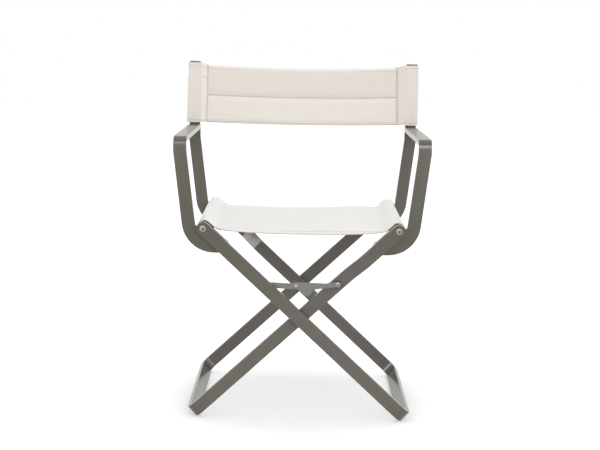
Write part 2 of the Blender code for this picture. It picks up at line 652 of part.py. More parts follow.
def toggle_brace():
    """Two links from the front legs to a knuckle, with their screws, rivet, bush and spacer."""
    screw_right = (TOGGLE_X, TOGGLE_Z)
    screw_left = (-TOGGLE_X, TOGGLE_Z)
    screw_hole = TOGGLE_SCREW_RADIUS + RUNNING_GAP

    place, length = bar_frame(KNUCKLE, screw_right)
    neck = -LINK_HALF_WIDTH - LINK_SAG
    outline = arc((0.0, 0.0), LINK_BOSS_RADIUS, math.radians(70), math.radians(285))
    outline += [(TAB_START, -TAB_DEPTH + LINK_SAG), (TAB_REACH, -TAB_DEPTH),
                ((TAB_REACH + TAB_END) / 2, -TAB_DEPTH + LINK_SAG), (TAB_END, neck - LINK_SAG)]
    outline += [(TAB_END + LINK_BOSS_RADIUS, neck)]
    outline += arc((length, 0.0), LINK_EYE_RADIUS, math.radians(-110), math.radians(95))
    outline += [((TAB_END + length) / 2, LINK_SAG)]
    shape = [[place(*point) for point in outline],
             circle(KNUCKLE, screw_hole, SMALL_SIDES), circle(screw_right, screw_hole, SMALL_SIDES)]
    mesh = prism(shape, "Y", *layer(FRONT, RIGHT_LINK_LAYER, LINK_THICKNESS))
    add_part("toggle_link_right", mesh, "link_steel", "toggle")

    place, length = bar_frame(screw_left, KNUCKLE)
    outline = arc((0.0, -LINK_SAG), LINK_HALF_WIDTH, math.pi / 2, 3 * math.pi / 2)
    outline += arc((length, -LINK_SAG), LINK_HALF_WIDTH, -math.pi / 2, math.pi / 2)
    shape = [[place(*point) for point in outline],
             circle(KNUCKLE, screw_hole, SMALL_SIDES), circle(screw_left, screw_hole, SMALL_SIDES)]
    mesh = prism(shape, "Y", *layer(FRONT, LEFT_LINK_LAYER, LINK_THICKNESS))
    add_part("toggle_link_left", mesh, "link_steel", "knuckle")

    rivet_back = LEFT_LINK_LAYER + LINK_THICKNESS + SEAT_GAP
    rivet_front = RIGHT_LINK_LAYER - SEAT_GAP
    profile = [(0.0, RIVET_HEAD_HEIGHT), (RIVET_HEAD_RADIUS, RIVET_HEAD_HEIGHT),
               (RIVET_HEAD_RADIUS, 0.0), (TOGGLE_SCREW_RADIUS, 0.0),
               (TOGGLE_SCREW_RADIUS, rivet_front - rivet_back),
               (RIVET_HEAD_RADIUS, rivet_front - rivet_back),
               (RIVET_HEAD_RADIUS, rivet_front - rivet_back - RIVET_HEAD_HEIGHT),
               (0.0, rivet_front - rivet_back - RIVET_HEAD_HEIGHT)]
    rivet = turned(profile, KNUCKLE, FRONT, rivet_front, SMALL_SIDES)
    add_part("knuckle_rivet", rivet, "satin_steel", "toggle")

    bush_start = RIGHT_LINK_LAYER + LINK_THICKNESS + SEAT_GAP
    ring = [circle(screw_right, TOGGLE_BUSH_RADIUS), circle(screw_right, screw_hole, SMALL_SIDES)]
    low, high = layer(FRONT, bush_start, LAYER_STEP - SEAT_GAP - bush_start)
    add_part("toggle_bush_right", prism(ring, "Y", low, high), "black_nylon", "cross")

    head_seat = RIGHT_LINK_LAYER - SEAT_GAP
    reach = LAYER_STEP + BAR_THICKNESS - SEAT_GAP - head_seat
    profile = button_head(TOGGLE_HEAD_RADIUS, TOGGLE_HEAD_HEIGHT, TOGGLE_SCREW_RADIUS, reach)
    screw = turned(profile, screw_right, FRONT, head_seat, SMALL_SIDES)
    add_part("toggle_screw_right", screw, "satin_steel", "cross")

    low, high = layer(FRONT, BAR_THICKNESS + SEAT_GAP, LEFT_LINK_LAYER - BAR_THICKNESS - 2 * SEAT_GAP)
    stand = prism([circle(screw_left, LINK_HALF_WIDTH, SMALL_SIDES)], "Y", low, high)
    add_part("toggle_spacer_left", stand, "black_nylon", "cross")

    head_seat = LEFT_LINK_LAYER + LINK_THICKNESS + SEAT_GAP
    profile = button_head(RIVET_HEAD_RADIUS, RIVET_HEAD_HEIGHT, TOGGLE_SCREW_RADIUS,
                          LINK_THICKNESS + SEAT_GAP)
    screw = turned(profile, screw_left, REAR, LEG_DEPTH - head_seat, SMALL_SIDES)
    add_part("toggle_screw_left", screw, "satin_steel", "knuckle")


# Cloth

def sheet(columns, rows, place, thickness, padding=None):
    """A cloth grid over two shares from 0 to 1, with Solidify on both sides of it.

    place gives a point for each pair of shares, and padding its share of the full thickness.
    """
    shell = bmesh.new()
    bmesh.ops.create_grid(shell, x_segments=columns, y_segments=rows, size=0.5)
    shares = [(vert.co.x + 0.5, vert.co.y + 0.5) for vert in shell.verts]
    for vert, share in zip(shell.verts, shares):
        vert.co = place(*share)
    mesh = bpy.data.meshes.new("sheet")
    shell.to_mesh(mesh)
    shell.free()
    guide = bpy.data.objects.new("sheet", mesh)
    CUTTERS.objects.link(guide)
    solid = guide.modifiers.new("cloth", "SOLIDIFY")
    solid.thickness = thickness
    solid.offset = 0.0
    if padding:
        group = guide.vertex_groups.new(name="padding")
        for index, share in enumerate(shares):
            group.add([index], padding(*share), "REPLACE")
        solid.vertex_group = "padding"
    shaped = guide.evaluated_get(bpy.context.evaluated_depsgraph_get())
    made = bpy.data.meshes.new_from_object(shaped)
    bpy.data.objects.remove(guide, do_unlink=True)
    bpy.data.meshes.remove(mesh)
    shell = bmesh.new()
    shell.from_mesh(made)
    bmesh.ops.recalc_face_normals(shell, faces=shell.faces)
    shell.to_mesh(made)
    shell.free()
    made.shade_smooth()
    return made


def droop(share):
    """Share of a sling's sag at a share of its width: 0 at both edges and 1 in the middle."""
    return 1.0 - (2.0 * share - 1.0) ** 2


SEAT_HALF = LEG_DEPTH / 2 - RAIL_LAYER - SEAT_GAP
SEAT_TIP = (PIVOT_HALF_SPAN - SEAT_TIP_REACH, PIVOT_HEIGHT - SEAT_TIP_DROP)


def seat_sleeve(side):
    """Sewn sleeve of the seat sling, drawn inboard off the rail that it hangs on."""
    inner_radius = RAIL_RADIUS + CLOTH_EASE
    centre = (PIVOT_HALF_SPAN - CLOTH_EASE + SEAT_GAP, PIVOT_HEIGHT)
    outer = teardrop(centre, inner_radius + CLOTH_THICKNESS, SEAT_TIP, CLOTH_THICKNESS / 2)
    hollow_tip = (SEAT_TIP[0] + 2 * CLOTH_THICKNESS, SEAT_TIP[1])
    hollow = teardrop(centre, inner_radius, hollow_tip, 0.0)[1:]
    mesh = prism([mirrored(outer, side), mirrored(hollow, side)], "Y", -SEAT_HALF, SEAT_HALF)
    mesh.shade_smooth()
    mesh.set_sharp_from_angle(angle=math.radians(40))
    return add_part(f"seat_sleeve_{SIDE_NAME[side]}", mesh, "white_cloth", side)


def seat_panel():
    """Seat cloth between the two sleeve seams, which sags more at the front edge."""
    half = SEAT_TIP[0] - SEAT_GAP

    def place(across, back):
        sag = SEAT_FRONT_SAG + (SEAT_REAR_SAG - SEAT_FRONT_SAG) * back
        return (half * (2 * across - 1), SEAT_HALF * (2 * back - 1), SEAT_TIP[1] - sag * droop(across))
    return add_part("seat_panel", sheet(24, 10, place, CLOTH_THICKNESS), "white_cloth", LEFT)


BACK_LOW = ARM_HEIGHT + BACK_LOW_CLEARANCE
BACK_TOP = POST_TOP - BACK_TOP_CLEARANCE


def back_sleeve(side):
    """Sleeve of the back sling round its post, narrowing to the seam of the padded panel."""
    inner_half = BAR_THICKNESS / 2 + SEAT_GAP
    outer_half = inner_half + CLOTH_THICKNESS
    post_in = ARM_CENTRE - POST_WIDTH / 2 - SEAT_GAP
    post_out = ARM_CENTRE + POST_WIDTH / 2 + SEAT_GAP
    seam_half = PAD_SEAM_THICKNESS / 2
    corner = CLOTH_THICKNESS + SEAT_GAP

    def round_end(half, radius, reach):
        first = arc((reach - radius, half - radius), radius, math.pi / 2, 0.0)
        second = arc((reach - radius, radius - half), radius, 0.0, -math.pi / 2)
        return first + second

    outer = [(BACK_SEAM_HALF_SPAN, seam_half), (post_in, outer_half)]
    outer += round_end(outer_half, corner, post_out + CLOTH_THICKNESS)
    outer += [(post_in, -outer_half), (BACK_SEAM_HALF_SPAN, -seam_half)]
    hollow = [(BACK_SEAM_HALF_SPAN + PAD_SEAM_THICKNESS, 0.0), (post_in, inner_half)]
    hollow += [(post_out, inner_half), (post_out, -inner_half), (post_in, -inner_half)]
    shapes = [[(side * q, POST_MIDDLE + depth) for q, depth in ring] for ring in (outer, hollow)]
    mesh = prism(shapes, "Z", BACK_LOW, BACK_TOP)
    middle = (BACK_LOW + BACK_TOP) / 2
    for vert in mesh.vertices:
        if vert.co.z > middle:
            inboard = max(0.0, post_in - abs(vert.co.x))
            vert.co.z -= BACK_SHOULDER_DROP * inboard / (post_in - BACK_SEAM_HALF_SPAN)
    mesh.shade_smooth()
    mesh.set_sharp_from_angle(angle=math.radians(40))
    return add_part(f"back_sleeve_{SIDE_NAME[side]}", mesh, "cream_cloth", side)


def back_panel():
    """Padded back cloth with an upper and a lower channel, drawn in at its seams."""
    half = BACK_SEAM_HALF_SPAN - SEAT_GAP
    seam_top = BACK_TOP - BACK_SHOULDER_DROP
    thin = PAD_SEAM_THICKNESS / PAD_THICKNESS

    def across_share(across):
        return math.sin(math.pi * (across - 0.5))

    def channel(up):
        lower = up < 0.5
        share = up / 0.5 if lower else (up - 0.5) / 0.5
        within = (1 - math.cos(math.pi * share)) / 2
        height = BACK_CHANNEL_SHARE * within if lower else \
            BACK_CHANNEL_SHARE + (1 - BACK_CHANNEL_SHARE) * within
        return height, math.sin(math.pi * share)

    def place(across, up):
        x = across_share(across)
        hang = 1 - x * x
        low = BACK_LOW - BACK_LOW_SAG * hang
        top = seam_top - BACK_TOP_SAG * hang
        return (half * x, POST_MIDDLE + BACK_BOW * hang, low + (top - low) * channel(up)[0])

    def padding(across, up):
        from_seam = half * (1 - abs(across_share(across)))
        drawn = math.sin(math.pi / 2 * min(1.0, from_seam / PAD_DRAW_IN))
        return thin + (1 - thin) * channel(up)[1] * drawn

    return add_part("back_panel", sheet(24, 16, place, PAD_THICKNESS, padding), "cream_cloth", LEFT)


# The chair

FRONT_FACE = -LEG_DEPTH / 2
REAR_FACE = LEG_DEPTH / 2

straight_leg("front_leg_a", LEFT, FRONT)
joggled_leg("rear_leg_a", LEFT, REAR)
floor_runner("runner_a", LEFT, FRONT_FACE, REAR_FACE - LAYER_STEP)
joggled_leg("front_leg_b", RIGHT, FRONT, toggle_hole=True)
straight_leg("rear_leg_b", RIGHT, REAR)
floor_runner("runner_b", RIGHT, FRONT_FACE + LAYER_STEP, REAR_FACE)
for chair_end in (FRONT, REAR):
    crossing(chair_end, chair_end)
for chair_side in (LEFT, RIGHT):
    arm_bar(chair_side)
    rear_upright(chair_side)
    back_post(chair_side)
    seat_rail(chair_side)
    seat_sleeve(chair_side)
    back_sleeve(chair_side)
    for chair_end in (FRONT, REAR):
        pivot_set(chair_side, chair_end)
toggle_brace()
seat_panel()
back_panel()
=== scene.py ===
"""Looks of the folding directors chair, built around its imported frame.

The chair stands at the origin in metres, with +Z up and its front at -Y. Left is -X, as seen from
the front. The frame's bars, pins and screws stay as packed and get their finishes here. The seat
sling and the padded back sling are modelled as cloth and replace the plain solids.
"""

import json
import math

import bpy
import numpy as np
from mathutils import Matrix, Vector


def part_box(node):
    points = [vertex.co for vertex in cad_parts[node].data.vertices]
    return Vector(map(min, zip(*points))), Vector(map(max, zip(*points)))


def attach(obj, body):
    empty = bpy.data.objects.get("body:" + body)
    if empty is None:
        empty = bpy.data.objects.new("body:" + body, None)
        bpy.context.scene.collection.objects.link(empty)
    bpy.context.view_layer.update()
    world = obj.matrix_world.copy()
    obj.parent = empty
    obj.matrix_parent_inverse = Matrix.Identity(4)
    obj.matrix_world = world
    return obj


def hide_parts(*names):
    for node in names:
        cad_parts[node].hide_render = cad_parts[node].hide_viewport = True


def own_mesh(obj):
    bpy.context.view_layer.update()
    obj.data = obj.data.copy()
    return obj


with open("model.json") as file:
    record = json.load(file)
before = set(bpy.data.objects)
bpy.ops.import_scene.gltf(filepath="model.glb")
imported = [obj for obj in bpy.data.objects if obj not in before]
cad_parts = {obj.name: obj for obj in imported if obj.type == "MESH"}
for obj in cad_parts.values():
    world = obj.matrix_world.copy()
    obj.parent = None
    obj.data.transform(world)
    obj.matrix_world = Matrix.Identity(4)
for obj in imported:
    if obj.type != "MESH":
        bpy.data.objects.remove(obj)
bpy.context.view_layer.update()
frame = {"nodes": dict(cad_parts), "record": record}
NODES = frame["nodes"]

SIDES = {"left": -1.0, "right": 1.0}

# Photograph: its width in pixels and the camera that was fitted to it
PHOTO_WIDTH = 600
CAMERA_PLACE = (-0.0042, -3.3717, 0.8952)
CAMERA_YAW = 0.0004
CAMERA_PITCH = 0.1366
CAMERA_ROLL = 0.0162
CAMERA_FOCAL_PIXELS = 1374.5
SENSOR_WIDTH = 36.0


# Node trees

class Value:
    """A number socket of a node tree, on which arithmetic adds Math nodes."""

    def __init__(self, tree, socket):
        self.tree = tree
        self.socket = socket

    def _math(self, operation, *operands):
        node = self.tree.nodes.new("ShaderNodeMath")
        node.operation = operation
        for entry, operand in zip(node.inputs, operands):
            if isinstance(operand, Value):
                self.tree.links.new(operand.socket, entry)
            else:
                entry.default_value = operand
        return Value(self.tree, node.outputs[0])

    def __add__(self, other):
        return self._math("ADD", self, other)

    __radd__ = __add__

    def __sub__(self, other):
        return self._math("SUBTRACT", self, other)

    def __rsub__(self, other):
        return self._math("SUBTRACT", other, self)

    def __mul__(self, other):
        return self._math("MULTIPLY", self, other)

    __rmul__ = __mul__

    def __truediv__(self, other):
        return self._math("DIVIDE", self, other)

    def sine(self):
        return self._math("SINE", self)

    def size(self):
        return self._math("ABSOLUTE", self)

    def clamped(self):
        node = self._math("ADD", self, 0.0)
        node.socket.node.use_clamp = True
        return node


class Finish:
    """A material's node tree, with its Principled shader and a short way to add nodes."""

    def __init__(self, name, colour, roughness, metallic=0.0, **shader):
        self.material = bpy.data.materials.new(name)
        self.material.use_nodes = True
        self.tree = self.material.node_tree
        self.shader = self.tree.nodes["Principled BSDF"]
        self.set("Base Color", (*colour, 1.0))
        self.set("Roughness", roughness)
        self.set("Metallic", metallic)
        for socket, value in shader.items():
            self.set(socket.replace("_", " "), value)

    def set(self, socket, value):
        """Put a number, a colour or a link into one of the shader's sockets."""
        self._fill(self.shader.inputs[socket], value)

    def _fill(self, entry, value):
        if isinstance(value, Value):
            self.tree.links.new(value.socket, entry)
        else:
            entry.default_value = value

    def node(self, kind, output=0, settings=None, **entries):
        """Add a node of a type, with its settings first and then its sockets, and give one output."""
        node = self.tree.nodes.new(kind)
        for name, value in (settings or {}).items():
            setattr(node, name, value)
        for name, value in entries.items():
            self._fill(node.inputs[name.replace("_", " ")], value)
        return Value(self.tree, node.outputs[output])

    def place(self):
        """Object coordinates."""
        return self.node("ShaderNodeTexCoord", "Object")

    def cloth_place(self):
        """The cloth's own coordinates in metres, across and along."""
        point = self.node("ShaderNodeUVMap", settings={"uv_map": "cloth"})
        return point, self.part(point, 0), self.part(point, 1)

    def part(self, vector, axis):
        """One coordinate of a vector, by its number."""
        return self.node("ShaderNodeSeparateXYZ", axis, Vector=vector)

    def noise(self, vector, scale, detail=2.0, roughness=0.5):
        """Noise from 0 to 1 with a number of features per metre."""
        return self.node("ShaderNodeTexNoise", Vector=vector, Scale=scale, Detail=detail, Roughness=roughness)

    def stretched(self, vector, scale):
        """Coordinates multiplied by one factor per axis."""
        return self.node("ShaderNodeMapping", Vector=vector, Scale=scale)

    def mix(self, share, first, second):
        """A colour between two colours."""
        node = self.tree.nodes.new("ShaderNodeMix")
        node.data_type = "RGBA"
        self._fill(node.inputs[0], share)
        for entry, colour in ((node.inputs[6], first), (node.inputs[7], second)):
            self._fill(entry, colour if isinstance(colour, Value) else (*colour, 1.0))
        return Value(self.tree, node.outputs[2])

    def bump(self, height, distance):
        """Feed a height in shares of a distance in metres to the shader's normal."""
        self.set("Normal", self.node("ShaderNodeBump", Height=height, Distance=distance, Strength=1.0))


def scaled(colour, factor):
    """A colour made darker or lighter."""
    return tuple(channel * factor for channel in colour)


# Finishes: colours, noise in features per metre, and bump depths in metres

PAINT = (0.112, 0.103, 0.082)
STEEL = (0.30, 0.285, 0.255)
LINK = (0.16, 0.16, 0.15)
PALE_NYLON = (0.46, 0.45, 0.43)
BLACK_NYLON = (0.018, 0.018, 0.018)
# Cloth: white and cream, darker edge tones for seams and painted shade, and pale tones for painted light
SEAT_WHITE = (0.83, 0.82, 0.80)
SEAT_SEAM_SHADE = (0.50, 0.41, 0.32)
SEAT_PAINTED_LIGHT = (0.885, 0.88, 0.865)
BACK_CREAM = (0.755, 0.697, 0.640)
BACK_SEAM_SHADE = (0.57, 0.49, 0.41)
BACK_PAINTED_LIGHT = (0.83, 0.80, 0.765)
THREAD_WHITE = (0.78, 0.76, 0.73)
THREAD_CREAM = (0.66, 0.58, 0.50)
PAINT_MOTTLE, PAINT_GRAIN, PAINT_PEEL, PAINT_DEPTH = 14.0, 1500.0, 420.0, 0.00006
STEEL_TARNISH, STEEL_DEPTH = 180.0, 0.00005
STEEL_STREAK = (160.0, 160.0, 2500.0)
LINK_STREAK = (60.0, 60.0, 2600.0)
# Radii of the dark discs painted as shade in the screws' hexagon sockets
PIVOT_SOCKET_SHADE, TOGGLE_SOCKET_SHADE = 0.0030, 0.0024
NYLON_GRAIN, NYLON_CLOUD, NYLON_DEPTH = 2200.0, 90.0, 0.00006
WEAVE_WANDER, WEAVE_CLOUD = 260.0, 18.0
SLUB_ACROSS, SLUB_ALONG = 380.0, 20.0
THREAD_TWIST, THREAD_DEPTH = 1600.0, 0.0001


def paint_finish():
    """Satin powder coat: fine orange peel, faint mottling and slightly uneven gloss."""
    finish = Finish("satin_taupe_paint", PAINT, 0.22, IOR=1.5)
    place = finish.place()
    mottle = finish.noise(place, PAINT_MOTTLE, detail=3.0)
    grain = finish.noise(place, PAINT_GRAIN)
    peel = finish.noise(place, PAINT_PEEL)
    finish.set("Base Color", finish.mix(mottle * 0.6 + grain * 0.4, scaled(PAINT, 0.88), scaled(PAINT, 1.12)))
    finish.set("Roughness", 0.16 + 0.05 * grain + 0.05 * mottle)
    finish.bump(peel * 0.7 + grain * 0.3, PAINT_DEPTH)
    return finish.material


def steel_finish(name, colour, roughness, streak, axis=None, socket=0.0):
    """Bare steel with fine streaks along one axis and a little tarnish.

    Round an axis along Y, given by its distance from the middle and its height, the steel is painted
    dark out to the socket's radius, as painted shade in the hexagon socket of a screw head.
    """
    finish = Finish(name, colour, roughness, 1.0)
    place = finish.place()
    lines = finish.noise(finish.stretched(place, streak), 1.0, detail=3.0, roughness=0.6)
    tarnish = finish.noise(place, STEEL_TARNISH, detail=3.0)
    tone = finish.mix(tarnish * 0.5 + lines * 0.5, scaled(colour, 0.80), scaled(colour, 1.15))
    if axis:
        # Painted shade: a dark disc round the screw's axis stands in for the shade in its socket
        across = finish.part(place, 0).size() - axis[0]
        above = finish.part(place, 2) - axis[1]
        square = (across * across + above * above) / socket ** 2
        tone = finish.mix((square * 4.0 - 3.2).clamped(), scaled(colour, 0.25), tone)
    finish.set("Base Color", tone)
    finish.set("Roughness", roughness - 0.08 + 0.12 * lines + 0.06 * tarnish)
    finish.bump(lines, STEEL_DEPTH)
    return finish.material


def nylon_finish(name, colour, roughness):
    """Moulded nylon with a fine matt grain."""
    finish = Finish(name, colour, roughness)
    place = finish.place()
    grain = finish.noise(place, NYLON_GRAIN)
    cloud = finish.noise(place, NYLON_CLOUD)
    finish.set("Base Color", finish.mix(cloud, scaled(colour, 0.9), scaled(colour, 1.1)))
    finish.set("Roughness", roughness - 0.05 + 0.1 * grain)
    finish.bump(grain, NYLON_DEPTH)
    return finish.material


def weave_finish(name, colour, edge, pale, pitch, depth, slub):
    """Plain woven cloth: threads that pass over and under each other, with slubs and mottling.

    A thread's height is a half wave across its width, and the sign of the product of two sines says
    which of the two threads lies on top. A darker, warmer tone marks stitched seams and is painted shade
    at creases, edges and undersides, and a paler tone is painted light on parts that should look more lit.
    """
    finish = Finish(name, colour, 0.88, Sheen_Weight=0.12, Sheen_Roughness=0.5)
    point, across, along = finish.cloth_place()
    u = across * (math.pi / pitch)
    v = along * (math.pi / pitch)
    wander = finish.noise(point, WEAVE_WANDER) * 1.2
    warp = (u + wander).sine()
    weft = (v + wander).sine()
    over = (warp * weft * 2.5 + 0.5).clamped()
    height = over * warp.size() + (1.0 - over) * weft.size()
    warp_slub = finish.noise(finish.stretched(point, (SLUB_ACROSS, SLUB_ALONG, 1.0)), 1.0, detail=3.0)
    weft_slub = finish.noise(finish.stretched(point, (SLUB_ALONG, SLUB_ACROSS, 1.0)), 1.0, detail=3.0)
    cloud = finish.noise(point, WEAVE_CLOUD, detail=3.0)
    # Raised threads come out a little lighter: painted shade between the threads, on top of the bump
    tone = warp_slub * 0.35 + weft_slub * 0.40 + cloud * 0.15 + height * 0.10
    woven = finish.mix(tone, scaled(colour, 1.0 - slub), scaled(colour, 1.0 + slub))
    # One mark mixes in a paler tone as painted light, the other a darker tone for seams and painted shade
    thin, sewn = [finish.node("ShaderNodeAttribute", "Fac", {"attribute_name": mark})
                  for mark in ("thin", "sewn")]
    woven = finish.mix(thin.clamped(), woven, pale)
    finish.set("Base Color", finish.mix(sewn.clamped(), woven, edge))
    finish.set("Roughness", 0.80 + 0.12 * cloud)
    finish.bump(height * 0.6 + warp_slub * 0.2 + weft_slub * 0.2, depth)
    return finish.material


def thread_finish(name, colour):
    """Sewing thread with a slight twist in its colour."""
    finish = Finish(name, colour, 0.7, Sheen_Weight=0.1)
    twist = finish.noise(finish.place(), THREAD_TWIST, detail=1.0)
    finish.set("Base Color", finish.mix(twist, scaled(colour, 0.8), scaled(colour, 1.1)))
    finish.bump(twist, THREAD_DEPTH)
    return finish.material


def screw_axis(node):
    """Where the axis of a packed screw lies: its distance from the middle and its height."""
    low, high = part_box(node)
    return (low.x + high.x) / 2, (low.z + high.z) / 2


TAUPE = paint_finish()
SATIN_STEEL = steel_finish("satin_steel", STEEL, roughness=0.58, streak=STEEL_STREAK,
                           axis=screw_axis("pivot_screw_front_right"), socket=PIVOT_SOCKET_SHADE)
TOGGLE_STEEL = steel_finish("toggle_screw_steel", STEEL, roughness=0.50, streak=STEEL_STREAK,
                            axis=screw_axis("toggle_screw_right"), socket=TOGGLE_SOCKET_SHADE)
LINK_STEEL = steel_finish("dull_link_steel", LINK, roughness=0.42, streak=LINK_STREAK)
GREY_NYLON = nylon_finish("pale_grey_nylon", PALE_NYLON, roughness=0.5)
DARK_NYLON = nylon_finish("black_nylon", BLACK_NYLON, roughness=0.45)
SEAT_WEAVE = weave_finish("seat_weave", SEAT_WHITE, SEAT_SEAM_SHADE, SEAT_PAINTED_LIGHT,
                          pitch=0.0011, depth=0.00022, slub=0.07)
BACK_WEAVE = weave_finish("back_weave", BACK_CREAM, BACK_SEAM_SHADE, BACK_PAINTED_LIGHT,
                          pitch=0.0009, depth=0.00020, slub=0.10)
SEAT_THREAD = thread_finish("seat_thread", THREAD_WHITE)
BACK_THREAD = thread_finish("back_thread", THREAD_CREAM)

SLOT_FINISH = {
    "frame_paint": TAUPE,
    "satin_steel": SATIN_STEEL,
    "link_steel": LINK_STEEL,
    "grey_nylon": GREY_NYLON,
    "black_nylon": DARK_NYLON,
    "seat_cloth": SEAT_WEAVE,
    "back_cloth": BACK_WEAVE,
}
EDGE_RADIUS = {"frame_paint": 0.0009, "satin_steel": 0.0004, "link_steel": 0.0004,
               "grey_nylon": 0.0003, "black_nylon": 0.0004}
EDGE_SEGMENTS = 3
EDGE_ANGLE = math.radians(35)
FLAT_ANGLE = math.radians(0.6)
WELD_REACH = 1e-5


# Frame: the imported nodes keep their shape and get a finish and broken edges

def dress_node(node, slot):
    """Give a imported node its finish, and round its edges with modifiers."""
    node.data.materials.clear()
    node.data.materials.append(SLOT_FINISH[slot])
    if slot not in EDGE_RADIUS:
        return
    normals = node.data.attributes.get("custom_normal")
    if normals:
        node.data.attributes.remove(normals)
    node.data.polygons.foreach_set("use_smooth", np.ones(len(node.data.polygons), bool))
    weld = node.modifiers.new("weld", "WELD")
    weld.merge_threshold = WELD_REACH
    flat = node.modifiers.new("flat faces", "DECIMATE")
    flat.decimate_type = "DISSOLVE"
    flat.angle_limit = FLAT_ANGLE
    edges = node.modifiers.new("broken edges", "BEVEL")
    edges.width = EDGE_RADIUS[slot]
    edges.segments = EDGE_SEGMENTS
    edges.limit_method = "ANGLE"
    edges.angle_limit = EDGE_ANGLE
    edges.harden_normals = True


for subpart in frame["record"]["subparts"]:
    dress_node(NODES[subpart["node"]], subpart["material_slot"])
NODES["toggle_screw_right"].data.materials[0] = TOGGLE_STEEL


# Cloth meshes

SHARP_ANGLE = math.radians(60)
SWELL_FRAMES = 20
FINE_POINTS = 1200


def add_piece(name, points, faces, finish, uv=None, marks=None):
    """Make a named mesh piece from an array of points and a list of faces.

    Cloth has coordinates in metres per point, and marks from 0 to 1: one for seams and painted shade, and
    one for painted light.
    """
    mesh = bpy.data.meshes.new(name)
    mesh.from_pydata(points.reshape(-1, 3), [], faces)
    if uv is not None:
        layer = mesh.uv_layers.new(name="cloth")
        corners = np.zeros(len(mesh.loops), np.int32)
        mesh.loops.foreach_get("vertex_index", corners)
        layer.uv.foreach_set("vector", uv.reshape(-1, 2)[corners].astype(np.float32).ravel())
    for label, mark in (marks or {}).items():
        layer = mesh.attributes.new(label, "FLOAT", "POINT")
        layer.data.foreach_set("value", mark.astype(np.float32).ravel())
    mesh.polygons.foreach_set("use_smooth", np.ones(len(mesh.polygons), bool))
    mesh.materials.append(finish)
    piece = bpy.data.objects.new(name, mesh)
    bpy.context.scene.collection.objects.link(piece)
    return piece


def grid_faces(index):
    """Quads over a grid of point numbers."""
    return np.stack([index[:-1, :-1], index[1:, :-1], index[1:, 1:], index[:-1, 1:]], -1).reshape(-1, 4)


def two_sheets(name, face, back, uv, marks, finish):
    """A closed cloth piece from a face sheet and a back sheet on the same grid.

    The face's normals come from its first parameter crossed with its second, and a wall one quad wide
    joins the two sheets along each of the four edges.
    """
    rows, columns = face.shape[:2]
    front = np.arange(rows * columns).reshape(rows, columns)
    rear = front + rows * columns
    walls = [grid_faces(np.stack([rear[0], front[0]])),
             grid_faces(np.stack([front[-1], rear[-1]])),
             grid_faces(np.stack([front[:, 0], rear[:, 0]])),
             grid_faces(np.stack([rear[:, -1], front[:, -1]]))]
    faces = np.concatenate([grid_faces(front), grid_faces(rear)[:, ::-1]] + walls)
    points = np.concatenate([face.reshape(-1, 3), back.reshape(-1, 3)])
    piece = add_piece(name, points, faces.tolist(), finish, np.concatenate([uv.reshape(-1, 2)] * 2),
                      {label: np.concatenate([mark.ravel()] * 2) for label, mark in marks.items()})
    piece.data.set_sharp_from_angle(angle=SHARP_ANGLE)
    return piece


def swollen(piece, held, pressure, cap):
    """Swell a closed pad by cloth simulation, with its stitched points held still.

    Air pressure pushes the cloth outwards for twenty frames without gravity, and no point may move
    further than the cap. The result is written to the mesh and the simulation is taken off again.
    """
    scene = bpy.context.scene
    group = piece.vertex_groups.new(name="held")
    group.add(np.flatnonzero(held).tolist(), 1.0, "REPLACE")
    cloth = piece.modifiers.new("swell", "CLOTH")
    cloth.settings.quality = 6
    cloth.settings.mass = 0.25
    cloth.settings.tension_stiffness = 25.0
    cloth.settings.compression_stiffness = 25.0
    cloth.settings.bending_stiffness = 1.0
    cloth.settings.use_pressure = True
    cloth.settings.uniform_pressure_force = pressure
    cloth.settings.vertex_group_mass = "held"
    cloth.settings.effector_weights.gravity = 0.0
    cloth.collision_settings.use_collision = False
    cloth.point_cache.frame_start = 1
    cloth.point_cache.frame_end = SWELL_FRAMES
    for moment in range(1, SWELL_FRAMES + 1):
        scene.frame_set(moment)
    made = piece.evaluated_get(bpy.context.evaluated_depsgraph_get()).to_mesh()
    before = np.zeros(len(piece.data.vertices) * 3, np.float32)
    after = np.zeros_like(before)
    piece.data.vertices.foreach_get("co", before)
    made.vertices.foreach_get("co", after)
    move = (after - before).reshape(-1, 3)
    length = np.linalg.norm(move, axis=1, keepdims=True)
    move = move * np.minimum(1.0, cap / np.maximum(length, 1e-9))
    piece.modifiers.remove(cloth)
    scene.frame_set(1)
    piece.data.vertices.foreach_set("co", (before.reshape(-1, 3) + move).ravel())
    piece.data.update()


def smooth_rows(knots, counts):
    """Row positions between knots, closer together near each knot: half a cosine wave per span."""
    spans = [low + (high - low) * (1 - np.cos(np.pi * np.arange(count) / count)) / 2
             for low, high, count in zip(knots[:-1], knots[1:], counts)]
    return np.concatenate(spans + [[knots[-1]]])


def crowded(count, share):
    """Places from -1 to 1, closer together towards both ends: a line with a share of a sine."""
    line = np.linspace(-1, 1, count)
    return (1 - share) * line + share * np.sin(np.pi / 2 * line)


def soft_step(value, low, high):
    """A smooth rise from 0 at low to 1 at high."""
    share = np.clip((value - low) / (high - low), 0.0, 1.0)
    return share * share * (3.0 - 2.0 * share)


def ridge(value, centre, width):
    """A bell of height 1."""
    return np.exp(-((value - centre) / width) ** 2)


def mean_length(points, axis):
    """Length of a grid of points along one of its two parameters, on average over the other."""
    return float(np.linalg.norm(np.diff(points, axis=axis), axis=2).sum(axis).mean())


